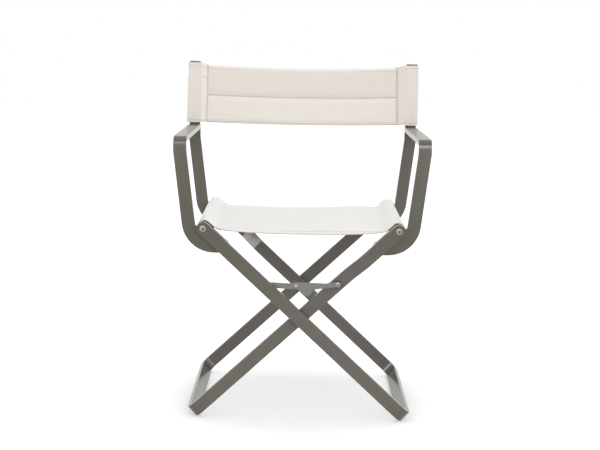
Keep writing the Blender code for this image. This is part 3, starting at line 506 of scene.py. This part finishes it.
def resampled(outline, count, rounding):
    """Evenly spaced points on an open outline, its corners softened over a length in metres."""
    def even(points, number):
        steps = np.r_[0.0, np.cumsum(np.linalg.norm(np.diff(points, axis=0), axis=1))]
        wanted = np.linspace(0.0, steps[-1], number)
        return np.stack([np.interp(wanted, steps, points[:, k]) for k in range(points.shape[1])], -1)

    fine = even(np.asarray(outline, float), FINE_POINTS)
    pitch = np.linalg.norm(fine[1] - fine[0])
    reach = max(1, int(rounding / pitch))
    kernel = np.ones(2 * reach + 1) / (2 * reach + 1)
    before = 2 * fine[0] - fine[reach:0:-1]
    after = 2 * fine[-1] - fine[-2:-reach - 2:-1]
    padded = np.concatenate([before, fine, after])
    soft = np.stack([np.convolve(padded[:, k], kernel, "valid") for k in range(fine.shape[1])], -1)
    return even(soft, count)


def stitches(name, paths, finish, pitch=0.0042, share=0.72, radius=0.00042):
    """Rows of stitches: a small spindle for each pitch along each path of points.

    A spindle is five rings of six points along the path's direction, thick in the middle.
    """
    starts, runs = [], []
    for path in paths:
        steps = np.r_[0.0, np.cumsum(np.linalg.norm(np.diff(path, axis=0), axis=1))]
        number = int(steps[-1] / pitch)
        places = (np.arange(number) + 0.5) * steps[-1] / number
        reach = share * pitch / 2
        ends = [np.stack([np.interp(places + s * reach, steps, path[:, k]) for k in range(3)], -1)
                for s in (-1, 1)]
        starts.append((ends[0] + ends[1]) / 2)
        runs.append((ends[1] - ends[0]) / 2)
    middle, run = np.concatenate(starts), np.concatenate(runs)
    along = run / np.linalg.norm(run, axis=1, keepdims=True)
    helper = np.where(np.abs(along[:, 1:2]) > 0.9, (1.0, 0.0, 0.0), (0.0, 1.0, 0.0))
    first = np.cross(along, helper)
    first /= np.linalg.norm(first, axis=1, keepdims=True)
    second = np.cross(along, first)
    stations = np.array([-1.0, -0.6, 0.0, 0.6, 1.0])
    girth = np.array([0.35, 0.85, 1.0, 0.85, 0.35]) * radius
    turn = 2 * np.pi * np.arange(6) / 6
    ring = (np.cos(turn)[None, :, None] * first[:, None, None, :]
            + np.sin(turn)[None, :, None] * second[:, None, None, :])
    points = (middle[:, None, None, :] + stations[None, :, None, None] * run[:, None, None, :]
              + girth[None, :, None, None] * ring)
    count, rings, sides = points.shape[:3]
    index = np.arange(rings * sides).reshape(rings, sides)
    wrapped = np.concatenate([index, index[:, :1]], 1)
    tube = grid_faces(wrapped.T)
    shift = (np.arange(count) * rings * sides)[:, None, None]
    walls = (tube[None] + shift).reshape(-1, 4).tolist()
    caps = np.stack([index[0], index[-1][::-1]])
    caps = (caps[None] + shift).reshape(-1, sides).tolist()
    return add_piece(name, points, walls + caps, finish)


# Back sling: lengths in metres, and pairs for the channel above and below the middle seam

SLEEVE_LOW, SLEEVE_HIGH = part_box("back_sleeve_right")
POST_LOW, POST_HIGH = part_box("back_post_right")
POST_Y = (POST_LOW.y + POST_HIGH.y) / 2
BACK_HALF = SLEEVE_LOW.x
BACK_TOP = SLEEVE_HIGH.z
BACK_BOTTOM = SLEEVE_LOW.z
SHOULDER_DROP = 0.0053  # from the sleeves' top to the pad's
TOP_SAG = 0.0068
BOTTOM_SAG = 0.0045
BOW = 0.013  # backwards in the middle
MID_SEAM_SHARE = 0.474  # of the pad's height
HEM = 0.0085
LOW_HEM = 0.0055
PAD_COLUMNS = 121
PAD_ROWS = (9, 24, 24, 9)
PAD_CROWN = 0.0052
PAD_PUCKER = 0.0004
PAD_CAP = 0.0015  # the furthest that a point may swell
PAD_PRESSURE = 2.0
SEAM_ROUND = (0.009, 0.004)
EDGE_ROUND = (0.0045, 0.0095)
EDGE_HALF = 0.0018  # half the thickness at the edges
EDGE_HELD = 0.0025  # nearer to a hem's edge no point swells
DRAW_IN = 0.005  # width of the slope down to the side seams
STITCH_PROUD = 0.0001
SEAM_GAP = 0.0003
SLEEVE_POINTS = 141
SLEEVE_CLOTH = 0.0013
SLEEVE_SEAM_HALF = 0.0021
SLEEVE_ROUND = 0.0014
SLEEVE_FOLDS = {"left": 0.0016, "right": 0.0014}
SLEEVE_FLARE = {"left": 0.0045, "right": 0.0018}  # further out at the bottom
SEAM_TOP = {"left": 0.0034, "right": -0.0036}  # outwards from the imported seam
SEAM_BOTTOM = {"left": 0.0066, "right": 0.0006}


def rounded(distance, radius):
    """A quarter circle that rises from 0 at an edge to 1 at a distance from it."""
    return np.sqrt(1 - (1 - np.clip(distance / radius, 0, 1)) ** 2)


def seam_shift(side, up):
    """How far outwards a side seam lies at a share of the height, where the two ends are sewn askew."""
    return SEAM_BOTTOM[side] + (SEAM_TOP[side] - SEAM_BOTTOM[side]) * up


def back_pad():
    """Padded back panel: two flat channels with round shoulders, drawn in at every seam.

    Each channel rises in a quarter circle from the middle seam and from the panel's edges, and is a
    little thicker towards its outer edge. The cloth then swells by simulation, held at its seams.
    """
    across = crowded(PAD_COLUMNS, 0.65)[None, :]
    height = BACK_TOP - SHOULDER_DROP - BACK_BOTTOM
    low, high = HEM / height, 1 - HEM / height
    up = smooth_rows([0.0, low, MID_SEAM_SHARE, high, 1.0], PAD_ROWS)[:, None]
    x = across * (BACK_HALF + np.where(across < 0, seam_shift("left", up), seam_shift("right", up)))
    hang = 1 - across ** 2
    bottom = BACK_BOTTOM - BOTTOM_SAG * hang
    top = BACK_TOP - SHOULDER_DROP - TOP_SAG * hang
    z = bottom + (top - bottom) * up

    # Thickness: round shoulders along the middle seam, the hems and the side seams
    from_seam = height * (up - MID_SEAM_SHARE)
    from_edge = height * np.minimum(up, 1 - up)
    above = from_seam > 0
    outwards = np.where(above, (up - MID_SEAM_SHARE) / (1 - MID_SEAM_SHARE), 1 - up / MID_SEAM_SHARE)
    swell = rounded(np.abs(from_seam), np.where(above, *SEAM_ROUND)) * (0.86 + 0.28 * outwards)
    swell = swell * rounded(from_edge, np.where(above, *EDGE_ROUND))
    from_side = BACK_HALF * (1 - np.abs(across))
    pucker = np.sin(x / 0.0031 + 2.0 * np.sin(x / 0.021)) * np.sin(x / 0.0127 + 0.7)
    seam_near = ridge(from_seam, 0.0, 0.007) + 0.5 * ridge(from_edge, HEM, 0.005)
    half = EDGE_HALF + (PAD_CROWN + PAD_PUCKER * pucker * seam_near) * swell * rounded(from_side, DRAW_IN)
    middle = POST_Y + BOW * hang * np.ones_like(up)
    face = np.stack([x, middle - half, z], -1)
    rear = np.stack([x, middle + half, z], -1)
    uv = np.stack([x, z], -1)

    # Marks: the seams' stitching is darker, and painted shade darkens the middle seam's groove, the side
    # edges and the bottom, where the cloth turns under; the lower channel and the top hem are paler as
    # painted light
    sewn = 0.40 * ridge(from_seam, 0.0004, 0.0010) + 0.52 * (1 - soft_step(height * up, 0.0, 0.010))
    sewn = sewn + 0.40 * ridge(height * (up - high), 0.0, 0.0012) * soft_step(np.abs(across), 0.4, 1.0)
    sewn = np.maximum(sewn * np.ones_like(x), 0.32 * ridge(from_side, 0.0, 0.0020))
    # Painted light: the lower channel is paler all over, and the top hem towards the top edge
    thin = np.where(above, 0.9 * soft_step(up, high, 1.0), 0.32) * np.ones_like(x)

    # The hems, the middle seam and the side seams are held while the rest swells
    column = np.arange(PAD_COLUMNS)[None, :]
    held = (from_edge < EDGE_HELD) | (np.abs(from_seam) < 1e-6) | (column < 2) | (column > PAD_COLUMNS - 3)
    grids = (face, rear, uv, sewn, thin, held)
    face, rear, uv, sewn, thin, held = [np.swapaxes(grid, 0, 1) for grid in grids]
    pad = two_sheets("back_pad", face, rear, uv, {"sewn": sewn, "thin": thin}, BACK_WEAVE)
    swollen(pad, np.concatenate([held.ravel()] * 2), PAD_PRESSURE, PAD_CAP)
    soft = pad.modifiers.new("soft", "SUBSURF")
    soft.levels = soft.render_levels = 1

    # Rows of stitches on both sheets
    rows = [np.argmin(np.abs(up - knot)) for knot in (high, MID_SEAM_SHARE, low)]
    lines = [sheet[2:-2, row] + (0.0, proud, 0.0) for row in rows
             for sheet, proud in ((face, -STITCH_PROUD), (rear, STITCH_PROUD))]
    return pad, stitches("back_pad_stitches", lines, BACK_THREAD)


def back_sleeve(side):
    """Sleeve of back cloth round a post: flat on the post, tapering to the seam of the pad.

    The plan outline is carried up the post, with folded hems at both ends and a top edge that drops
    towards the seam, and it widens outwards towards the bottom. Folds are waves that run out from the
    seam: broad slanting ones near the top on the left, and short close ones over the whole height on
    the right.
    """
    sign = SIDES[side]
    front = -(SLEEVE_HIGH.y - SLEEVE_LOW.y) / 2
    post_in, reach = POST_LOW.x, SLEEVE_HIGH.x
    seam = BACK_HALF + SEAM_GAP
    plan = [(seam, -SLEEVE_SEAM_HALF), (post_in - 0.001, front), (reach, front), (reach, -front),
            (post_in - 0.001, -front), (seam, SLEEVE_SEAM_HALF)]
    outline = resampled(plan, SLEEVE_POINTS, SLEEVE_ROUND)
    q, depth = outline[:, 0][None, :], outline[:, 1][None, :]
    inboard = np.clip((post_in - q) / (post_in - seam), 0, 1)
    top = BACK_TOP - SHOULDER_DROP * inboard
    height = BACK_TOP - BACK_BOTTOM
    hem = HEM / height
    low_hem = LOW_HEM / height
    up = smooth_rows([0.0, low_hem, 1 - hem, 1.0], [8, 150, 8])[:, None]
    z = BACK_BOTTOM + (top - BACK_BOTTOM) * up

    # How far the cloth stands out from its plan: thicker hems, folds and slow waves
    tangent = np.gradient(outline, axis=0)
    tangent /= np.linalg.norm(tangent, axis=1, keepdims=True)
    normal = np.stack([tangent[:, 1], -tangent[:, 0]], -1)
    edge = ridge(up, low_hem, 0.006) + ridge(up, 1 - hem, 0.006)
    folded = soft_step(low_hem - up, 0.0, 0.008) + soft_step(up - 1 + hem, 0.0, 0.008)
    bulge = 0.0006 * folded - 0.0004 * edge
    rise = z - BACK_BOTTOM
    if sign < 0:
        slant = rise - 0.55 * (q - seam)
        pull = soft_step(inboard, 0.0, 0.35) * (1 - soft_step(inboard, 0.80, 1.0)) * ridge(up, 0.78, 0.17)
        folds = np.sin(slant / 0.0030 + 0.6) * 0.8 + np.sin(slant / 0.0061) * 0.3
        bulge = bulge + SLEEVE_FOLDS[side] * folds * pull
        bulge = bulge + 0.0004 * np.sin(slant / 0.0042) * ridge(inboard, 0.0, 0.5) * ridge(up, 0.72, 0.10)
    else:
        slant = rise - 0.40 * (q - seam)
        pull = (1 - soft_step(q, seam + 0.012, seam + 0.036)) * (1 - soft_step(inboard, 0.97, 1.0))
        pull = pull * (0.6 + 0.4 * soft_step(up, 0.3, 0.8)) * (0.65 + 0.35 * np.sin(rise / 0.019))
        folds = 0.5 + 0.5 * np.sin(slant / 0.00143 + 1.1 * np.sin(rise / 0.013))
        bulge = bulge + SLEEVE_FOLDS[side] * folds * pull
    bulge = bulge + 0.0003 * np.sin(rise / 0.017 + 2.0 * inboard) * np.sin(rise / 0.031 + 1.0)

    # The plan moved out by that, flared towards the bottom and leaning at the seam
    outboard = np.clip((q - post_in) / (reach - post_in), 0, 1)
    q = q + bulge * normal[:, 0][None, :] + SLEEVE_FLARE[side] * outboard * (1 - up)
    q = q + seam_shift(side, up) * inboard
    depth = depth + bulge * normal[:, 1][None, :]
    points = np.stack([sign * q, POST_Y + depth, z * np.ones_like(q)], -1)
    girth = np.r_[0.0, np.cumsum(np.linalg.norm(np.diff(outline, axis=0), axis=1))]
    uv = np.stack([girth[None, :] * np.ones_like(up), z], -1)

    # Marks: the hems' stitching is darker, a band along the seam is darker as painted shade, and the cloth
    # beside it is paler as painted light
    sewn = 0.75 * ridge(height * (up - low_hem), 0.0, 0.0015)
    sewn = sewn + 0.35 * ridge(height * (up - 1 + hem), 0.0, 0.0011)
    # Painted shade along the seam, wider and darker on the right
    band = 0.22 * soft_step(inboard, 0.93, 1.0) if sign < 0 else 0.45 * soft_step(inboard, 0.70, 0.92)
    sewn = np.maximum(sewn * np.ones_like(q), band)
    # Painted light: the strip between post and seam is far paler on the left than on the right
    thin = (0.75 if sign < 0 else 0.2) * soft_step(inboard, -0.02, 0.4) * np.ones_like(sewn)
    if sign > 0:
        points, uv, sewn, thin = [grid[:, ::-1] for grid in (points, uv, sewn, thin)]
    index = np.arange(points.shape[0] * points.shape[1]).reshape(points.shape[:2])
    piece = add_piece(f"back_sleeve_cloth_{side}", points, grid_faces(index).tolist(), BACK_WEAVE, uv,
                      {"sewn": sewn, "thin": thin})
    wall = piece.modifiers.new("cloth", "SOLIDIFY")
    wall.thickness = SLEEVE_CLOTH
    wall.offset = -1.0
    return piece, mean_length(points, 1)


# Seat sling: lengths in metres

SEAT_LOW, SEAT_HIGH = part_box("seat_panel")
ROLL_LOW, ROLL_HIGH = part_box("seat_sleeve_right")
SEAT_HALF = SEAT_HIGH.x
FRONT_GAP, REAR_GAP, TIP_GAP = 0.0028, 0.0005, 0.001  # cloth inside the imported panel's box
SEAT_FRONT, SEAT_BACK = SEAT_LOW.y + FRONT_GAP, SEAT_HIGH.y - REAR_GAP
SEAT_LENGTH = SEAT_BACK - SEAT_FRONT
SEAT_TIP_Z = SEAT_HIGH.z - TIP_GAP
SEAT_OVERLAP = 0.0010  # of the panel with the rolls
SEAT_COLUMNS = 131
CREASE_REACH = 0.0335  # from the rail's axis to where the panel turns up
ROLL_FULLER = 0.0008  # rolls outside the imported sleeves
SEAT_DROP = 0.0132  # sag of the front edge
SEAT_LIP = 0.0076  # depth of the hanging front hem
LIP_LEAST = 0.0012
LIP_REACH = 0.004  # radius of its bend
SEAT_REAR_SAG = 0.0035
REAR_TAUT = 0.0030  # the rear edge is higher on the right
CREASE_SLANT = 0.008  # nearer the rolls at the front than at the rear
CREASE_NEARER = {"left": 0.0, "right": 0.0035}
ROLL_REAR = 0.0025  # fuller at the rear
ROLL_RIM = {"left": 0.0, "right": 0.0011}
SEAT_HEM = 0.013
CLOTH = 0.0017
HEM_CLOTH = 0.0026
ROLL_CLOTH = 0.0015
ROLL_POINTS = 121
ROLL_LIP = 0.0012
# Shares of painted light that make the rolls and the right of the panel paler
ROLL_PAINTED_LIGHT = 0.8
PANEL_PAINTED_LIGHT = 0.5
FLAT_REACH = 0.035
OUTLINE_POINTS, RUN_UP_POINTS, ARC_POINTS = 400, 150, 90
OUTLINE_ROUND = 0.0045


def roll_outline():
    """Cross-section of the seat sling on the right rail, from the panel over the rail and back to it.

    It is the flat edge of the panel, a circle on the rail and the tangents between them, with its
    corners softened so that the panel runs up onto the roll.
    """
    middle = (ROLL_LOW.z + ROLL_HIGH.z) / 2
    radius = (ROLL_HIGH.z - ROLL_LOW.z) / 2 + ROLL_FULLER
    centre = ROLL_HIGH.x - radius + ROLL_FULLER
    crease = (centre - CREASE_REACH, SEAT_TIP_Z + CLOTH / 2)
    meet = (SEAT_HALF + SEAM_GAP, SEAT_TIP_Z)

    def tangent(point):
        bearing = math.atan2(point[1] - middle, point[0] - centre) % (2 * math.pi)
        return bearing, math.acos(radius / math.dist(point, (centre, middle)))

    first, first_spread = tangent(crease)
    last, last_spread = tangent(meet)
    angle = np.linspace(first - first_spread, last + last_spread - 2 * np.pi, ARC_POINTS)
    circle = np.stack([centre + radius * np.cos(angle), middle + radius * np.sin(angle)], -1)
    start = [(crease[0] - FLAT_REACH, crease[1]), crease]
    outline = resampled(np.concatenate([start, circle, [meet]]), OUTLINE_POINTS, OUTLINE_ROUND)
    return outline, (centre, middle)


ROLL_OUTLINE, ROLL_CENTRE = roll_outline()


def run_up(distance, back, nearer=0.0):
    """Height of the sling's upper side where it runs up to the roll.

    The crease at its foot lies nearer the roll at the front, where back is 0, than at the rear.
    """
    distance = distance - CREASE_SLANT * (1 - back) - nearer
    return np.interp(distance, *ROLL_OUTLINE[:RUN_UP_POINTS].T)


def seat_cloth():
    """Seat panel between the two sleeves: it sags, more at the front than at the rear.

    Its sides run up towards the rolls, and the rear edge is tauter on the right. The front hem hangs
    down as a round lip, an arc of 120 degrees in side view, which is deeper right of the middle. The
    hems are folded, so they are thicker, and shallow waves run from the corners where the cloth is pulled.
    """
    across = crowded(SEAT_COLUMNS, 0.5)[:, None]
    length = SEAT_LENGTH
    turn = np.radians(np.linspace(-30, 90, 11))[:-1]
    flat = smooth_rows([LIP_REACH, SEAT_HEM, length / 2, length - SEAT_HEM, length], [6, 26, 26, 8])
    back = np.r_[LIP_REACH * (1 - np.cos(turn)), flat][None, :]
    hanging = np.r_[(1 - np.sin(turn)) / 1.5, np.zeros(len(flat))][None, :]
    x = (SEAT_HALF + SEAT_OVERLAP) * across * np.ones_like(back)
    y = SEAT_FRONT + back * np.ones_like(across)

    # Height: the way up to the rolls less the sag, with waves, stitched grooves and the hanging lip
    room = 1 - across ** 2
    lip = SEAT_LIP * room ** 0.5 * (0.25 + 0.75 * soft_step(across, -0.9, 0.1))
    front = SEAT_DROP * room ** np.where(across > 0, 0.38, 0.55) - lip
    sag = front + (SEAT_REAR_SAG * room - front) * back / length
    rising = run_up(np.abs(x), back / length, np.where(x < 0, CREASE_NEARER["left"], CREASE_NEARER["right"]))
    corner = soft_step(np.abs(across), 0.55, 1.0)
    pull = np.sin((y - 0.35 * np.abs(x)) / 0.0105) * np.sin(y / 0.061 + 1.0)
    wave = np.sin(x / 0.083 + 3 * back / length) * np.sin(y / 0.071 + 2 * across)
    edges = 1 - soft_step(np.abs(across), 0.93, 1.0)
    seam = SEAT_HEM * 0.9
    groove = ridge(back, seam, 0.0013) + ridge(back, length - seam, 0.0013)
    z = rising - sag + (0.0005 * pull * corner + 0.0004 * wave) * edges - 0.0003 * groove + 0.0001
    taut = soft_step(across, -0.2, 0.75) * (1 - soft_step(across, 0.84, 1.0))
    z = z - (lip + LIP_LEAST) * hanging + REAR_TAUT * taut * (back / length) ** 2

    # Thickness, square to the cloth in side view
    folded = np.maximum(1 - soft_step(back, SEAT_HEM * 0.94, SEAT_HEM * 1.06),
                        soft_step(back, length - SEAT_HEM * 1.06, length - SEAT_HEM * 0.94))
    thick = CLOTH + (HEM_CLOTH - CLOTH) * folded
    thick = thick * (0.35 + 0.65 * soft_step(1 - np.abs(across), 0.0, 0.02))
    run, climb = np.gradient(y, axis=1), np.gradient(z, axis=1)
    step = np.hypot(run, climb)
    face = np.stack([x, y, z], -1)
    rear = face - np.stack([np.zeros_like(x), -climb, run], -1) * (thick / step)[..., None]

    # Marks, by the way gone over the cloth from the front hem's lower edge
    steps = [np.diff(grid, axis=1, prepend=grid[:, :1]) for grid in (y, z)]
    gone = np.cumsum(np.hypot(*steps), axis=1)
    uv = np.stack([x, gone], -1)
    # Painted shade: the front hem's lower edge and a band on the hanging lip are darker, more to the right,
    # and a faint darker line runs along the rear edge
    sewn = 0.75 * (1 - soft_step(gone, 0.0012, 0.0036)) + 0.2 * ridge(y, SEAT_BACK, 0.0014)
    sewn = sewn + 0.60 * ridge(hanging, 0.12, 0.12) * soft_step(across, -0.7, 0.1) * (back < 2 * LIP_REACH)
    # Painted light: the panel is paler towards its right side
    thin = PANEL_PAINTED_LIGHT * soft_step(across, 0.2, 0.8) * np.ones_like(back)
    piece = two_sheets("seat_cloth", face, rear, uv, {"sewn": sewn, "thin": thin}, SEAT_WEAVE)
    rows = [np.argmin(np.abs(back - seam)), np.argmin(np.abs(back - length + seam))]
    lines = [face[4:-4, row] + (0.0, 0.0, STITCH_PROUD) for row in rows]
    return piece, stitches("seat_hem_stitches", lines, SEAT_THREAD), gone.max()


def seat_roll(side):
    """Sleeve of seat cloth round a rail: the sling's cross-section carried along the rail.

    The inner sheet is the outer one drawn towards the rail's axis, so the sleeve is open at its ends. It
    grows fuller towards the rear, where the right one ends in a small rim.
    """
    sign = SIDES[side]
    begin = np.argmax(ROLL_OUTLINE[:, 0] > SEAT_HALF - SEAT_OVERLAP)
    outline = resampled(ROLL_OUTLINE[begin:], ROLL_POINTS, 0.0001)
    hem = SEAT_HEM / SEAT_LENGTH
    along = smooth_rows([0.0, hem, 0.5, 1 - hem, 1.0], [8, 22, 22, 8])[None, :]
    step = (np.arange(len(outline)) / (len(outline) - 1))[:, None]
    free = soft_step(step, 0.0, 0.15) * (1 - soft_step(step, 0.85, 1.0))

    # How far the cloth stands out: slow waves, stitched hems, a front edge drawn in and a rear rim
    wave = np.sin(along * 23 + 7 * step) * np.sin(along * 9.0 + 2.0)
    bulge = 0.00030 * wave - 0.0003 * (ridge(along, hem * 0.86, 0.004) + ridge(along, 1 - hem * 0.86, 0.004))
    from_end = SEAT_LENGTH * np.minimum(along, 1 - along)
    bulge = bulge - 0.0008 * np.clip(1 - from_end / ROLL_LIP, 0, 1) ** 2 * (along < 0.5) + ROLL_REAR * along
    rim = (1 - soft_step(from_end, ROLL_LIP, 0.0020)) * (along > 0.5)
    bulge = bulge + ROLL_RIM[side] * rim

    # The cross-section, lowered where the panel's own crease lies nearer, and scaled from the rail's axis
    q0, z0 = outline[:, :1], outline[:, 1:]
    lower = (run_up(SEAT_HALF, 1.0) - run_up(SEAT_HALF, along, CREASE_NEARER[side])) * (step < 0.5)
    z0 = z0 - lower * (1 - soft_step(q0, SEAT_HALF - 0.001, ROLL_CENTRE[0] - 0.004))
    reach = np.hypot(q0 - ROLL_CENTRE[0], z0 - ROLL_CENTRE[1])
    grow = 1 + (bulge * free - 0.0001) / reach
    shrink = grow - ROLL_CLOTH / reach
    y = (SEAT_FRONT + SEAT_LENGTH * along) * np.ones_like(q0)
    sheets = [np.stack([sign * (ROLL_CENTRE[0] + (q0 - ROLL_CENTRE[0]) * size), y,
                        ROLL_CENTRE[1] + (z0 - ROLL_CENTRE[1]) * size], -1) for size in (grow, shrink)]
    girth = np.r_[0.0, np.cumsum(np.linalg.norm(np.diff(outline, axis=0), axis=1))]
    uv = np.stack([girth[:, None] * np.ones_like(along), y], -1)
    # Darker front end: the hem's stitching with painted shade where the roll meets the leg; on the right a
    # darker rear rim is painted shade
    sewn = 0.45 * ridge(from_end, 0.0, ROLL_LIP) * (along < 0.5) + rim * (ROLL_RIM[side] > 0)
    sewn = sewn * np.ones_like(q0)
    if sign < 0:
        sheets, uv, sewn = [sheet[::-1] for sheet in sheets], uv[::-1], sewn[::-1]
    # Painted light: the rolls are paler than the panel
    marks = {"sewn": sewn, "thin": np.full_like(sewn, ROLL_PAINTED_LIGHT)}
    piece = two_sheets(f"seat_roll_cloth_{side}", *sheets, uv, marks, SEAT_WEAVE)
    return piece, mean_length(sheets[0], 0)


# Cloth on its bodies: the back pad and the seat panel go on the left side frame, each sleeve and roll on its
# own side

pad, pad_stitches = back_pad()
for piece in (pad, pad_stitches):
    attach(piece, "side_left")
    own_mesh(piece)
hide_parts("back_panel")

panel, panel_stitches, panel_length = seat_cloth()
for piece in (panel, panel_stitches):
    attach(piece, "side_left")
    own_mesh(piece)
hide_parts("seat_panel")

for side in SIDES:
    sleeve, girth = back_sleeve(side)
    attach(sleeve, f"side_{side}")
    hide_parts(f"back_sleeve_{side}")
    roll, girth = seat_roll(side)
    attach(roll, f"side_{side}")
    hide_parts(f"seat_sleeve_{side}")


# Stage, light and camera. Glows are turn, height and reach in degrees, and level

WORLD_LEVEL = 0.76
SKY_RISE = 0.51
ZENITH_SHARE = 0.80
FRONT_SHARE = 0.30
KEY_LEVEL = 0.81
KEY_SPREAD = math.radians(28)
KEY_PLACE = (13, 16)
GLOWS = {"left softbox": (-35, 18, 20, 8.0), "front softbox": (4, 32, 13, 7.0), "window": (0, 8, 16, 1.2),
         "right softbox": (46, 23, 13, 4.0)}
FLOOR_TONE = 0.62
FLOOR_LIFT = 0.345
FLOOR_LEVEL = -0.0004
FLOOR_REACH = 14.0
FLOOR_FRONT = -2.2
POOL_REACH = 0.36
POOL_PLACE = -0.05
POOL_FADE, POOL_START, POOL_RISE = 1.2, 0.5, 0.2


def light_path(tree):
    """1 for rays that see the backdrop directly, and 1 for those that see it as a reflection."""
    path = tree.nodes.new("ShaderNodeLightPath")
    camera = Value(tree, path.outputs["Is Camera Ray"])
    through = Value(tree, path.outputs["Is Transmission Ray"])
    return (camera + through).clamped(), Value(tree, path.outputs["Is Glossy Ray"])


def towards(turn, height):
    """Unit vector at a turn to the right of the front and a height, both in degrees."""
    turn, height = math.radians(turn), math.radians(height)
    return (math.sin(turn) * math.cos(height), -math.cos(turn) * math.cos(height), math.sin(height))


def light_world():
    """A white surround that lights the chair at a plain level, half as strong again from above.

    Its reflection is white behind the chair and a little darker overhead, where its strength falls with
    the sine of the height. In front the room is dark but for softboxes, each brightest in its middle.
    """
    world = bpy.data.worlds.new("studio")
    bpy.context.scene.world = world
    world.use_nodes = True
    tree = world.node_tree
    background = tree.nodes["Background"]
    background.inputs["Color"].default_value = (1.0, 1.0, 1.0, 1.0)
    direction = tree.nodes.new("ShaderNodeTexCoord")
    parts = tree.nodes.new("ShaderNodeSeparateXYZ")
    tree.links.new(direction.outputs["Generated"], parts.inputs[0])
    right, back, height = [Value(tree, output) for output in parts.outputs]
    overhead = (height * 1.6 - 0.45).clamped()
    in_front = (back * -1.8 - 0.3).clamped()
    mirrored = (1.0 - overhead * (1.0 - ZENITH_SHARE)) * (1.0 - in_front * (1.0 - FRONT_SHARE))
    for turn, rise, reach, level in GLOWS.values():
        aim, rim = towards(turn, rise), math.cos(math.radians(reach))
        near = right * aim[0] + back * aim[1] + height * aim[2] - rim
        mirrored = mirrored + (near * (1.5 / (1.0 - rim))).clamped() * level
    seen, reflected = light_path(tree)
    level = height.clamped() * (WORLD_LEVEL * SKY_RISE) + WORLD_LEVEL
    strength = level + seen * (1.0 - level) + reflected * (mirrored - level)
    tree.links.new(strength.socket, background.inputs["Strength"])


def soft_key():
    """A wide soft lamp, low in front of the chair and a little to the right."""
    lamp = bpy.data.lights.new("soft_key", "SUN")
    lamp.energy = KEY_LEVEL
    lamp.angle = KEY_SPREAD
    key = bpy.data.objects.new("soft_key", lamp)
    turn, height = KEY_PLACE
    key.rotation_euler = (math.radians(90 - height), 0.0, math.radians(turn))
    bpy.context.scene.collection.objects.link(key)


def folded_floor():
    """Height of the feet when the chair is folded: runner A turned on the crossing by its whole range."""
    joints = frame["record"]["behaviour"]["joints"]
    turning = next(joint for joint in joints if joint["name"] == "cross_turn")
    turn = math.radians(max(turning["range_deg"]))
    runner = NODES["runner_a"].data.vertices
    points = np.zeros(len(runner) * 3, np.float32)
    runner.foreach_get("co", points)
    x, _, z = (points.reshape(-1, 3) - turning["pos_m"]).T
    return turning["pos_m"][2] + float((z * math.cos(turn) - x * math.sin(turn)).min())


def pale_floor():
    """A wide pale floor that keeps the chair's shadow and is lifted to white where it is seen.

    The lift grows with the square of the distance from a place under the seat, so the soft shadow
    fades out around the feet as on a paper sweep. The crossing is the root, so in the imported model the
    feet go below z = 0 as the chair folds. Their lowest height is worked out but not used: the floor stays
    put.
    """
    corners = np.array([(x, y, FLOOR_LEVEL) for x, y in (
        (-FLOOR_REACH, FLOOR_FRONT), (FLOOR_REACH, FLOOR_FRONT),
        (FLOOR_REACH, FLOOR_REACH), (-FLOOR_REACH, FLOOR_REACH))])
    finish = Finish("pale_floor", (FLOOR_TONE,) * 3, 0.9, Specular_IOR_Level=0.0)
    tree = finish.tree
    lift = tree.nodes.new("ShaderNodeEmission")
    seen, reflected = light_path(tree)
    place = finish.place()
    right = finish.part(place, 0) / POOL_REACH
    back = (finish.part(place, 1) - POOL_PLACE) / POOL_REACH
    away = ((right * right + back * back) * POOL_FADE - POOL_START).clamped()
    tree.links.new(((seen + reflected) * (away * POOL_RISE + FLOOR_LIFT)).socket, lift.inputs["Strength"])
    total = tree.nodes.new("ShaderNodeAddShader")
    tree.links.new(finish.shader.outputs[0], total.inputs[0])
    tree.links.new(lift.outputs[0], total.inputs[1])
    tree.links.new(total.outputs[0], tree.nodes["Material Output"].inputs["Surface"])
    floor = add_piece("floor", corners, [[0, 1, 2, 3]], finish.material)
    folded_floor()
    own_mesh(floor)


def photo_camera():
    """The camera that was fitted to the photograph, from its yaw, pitch and roll."""
    forward = Vector((math.sin(CAMERA_YAW) * math.cos(CAMERA_PITCH),
                      math.cos(CAMERA_YAW) * math.cos(CAMERA_PITCH), -math.sin(CAMERA_PITCH)))
    level = Vector((math.cos(CAMERA_YAW), -math.sin(CAMERA_YAW), 0.0))
    above = level.cross(forward)
    right = level * math.cos(CAMERA_ROLL) + above * math.sin(CAMERA_ROLL)
    up = above * math.cos(CAMERA_ROLL) - level * math.sin(CAMERA_ROLL)
    lens = bpy.data.cameras.new("photo_camera")
    lens.sensor_width = SENSOR_WIDTH
    lens.lens = CAMERA_FOCAL_PIXELS * SENSOR_WIDTH / PHOTO_WIDTH
    camera = bpy.data.objects.new("photo_camera", lens)
    turned = Matrix((right, up, -forward)).transposed().to_4x4()
    camera.matrix_world = Matrix.Translation(CAMERA_PLACE) @ turned
    bpy.context.scene.collection.objects.link(camera)
    bpy.context.scene.camera = camera


light_world()
soft_key()
pale_floor()
photo_camera()
bpy.context.scene.view_settings.view_transform = "Standard"
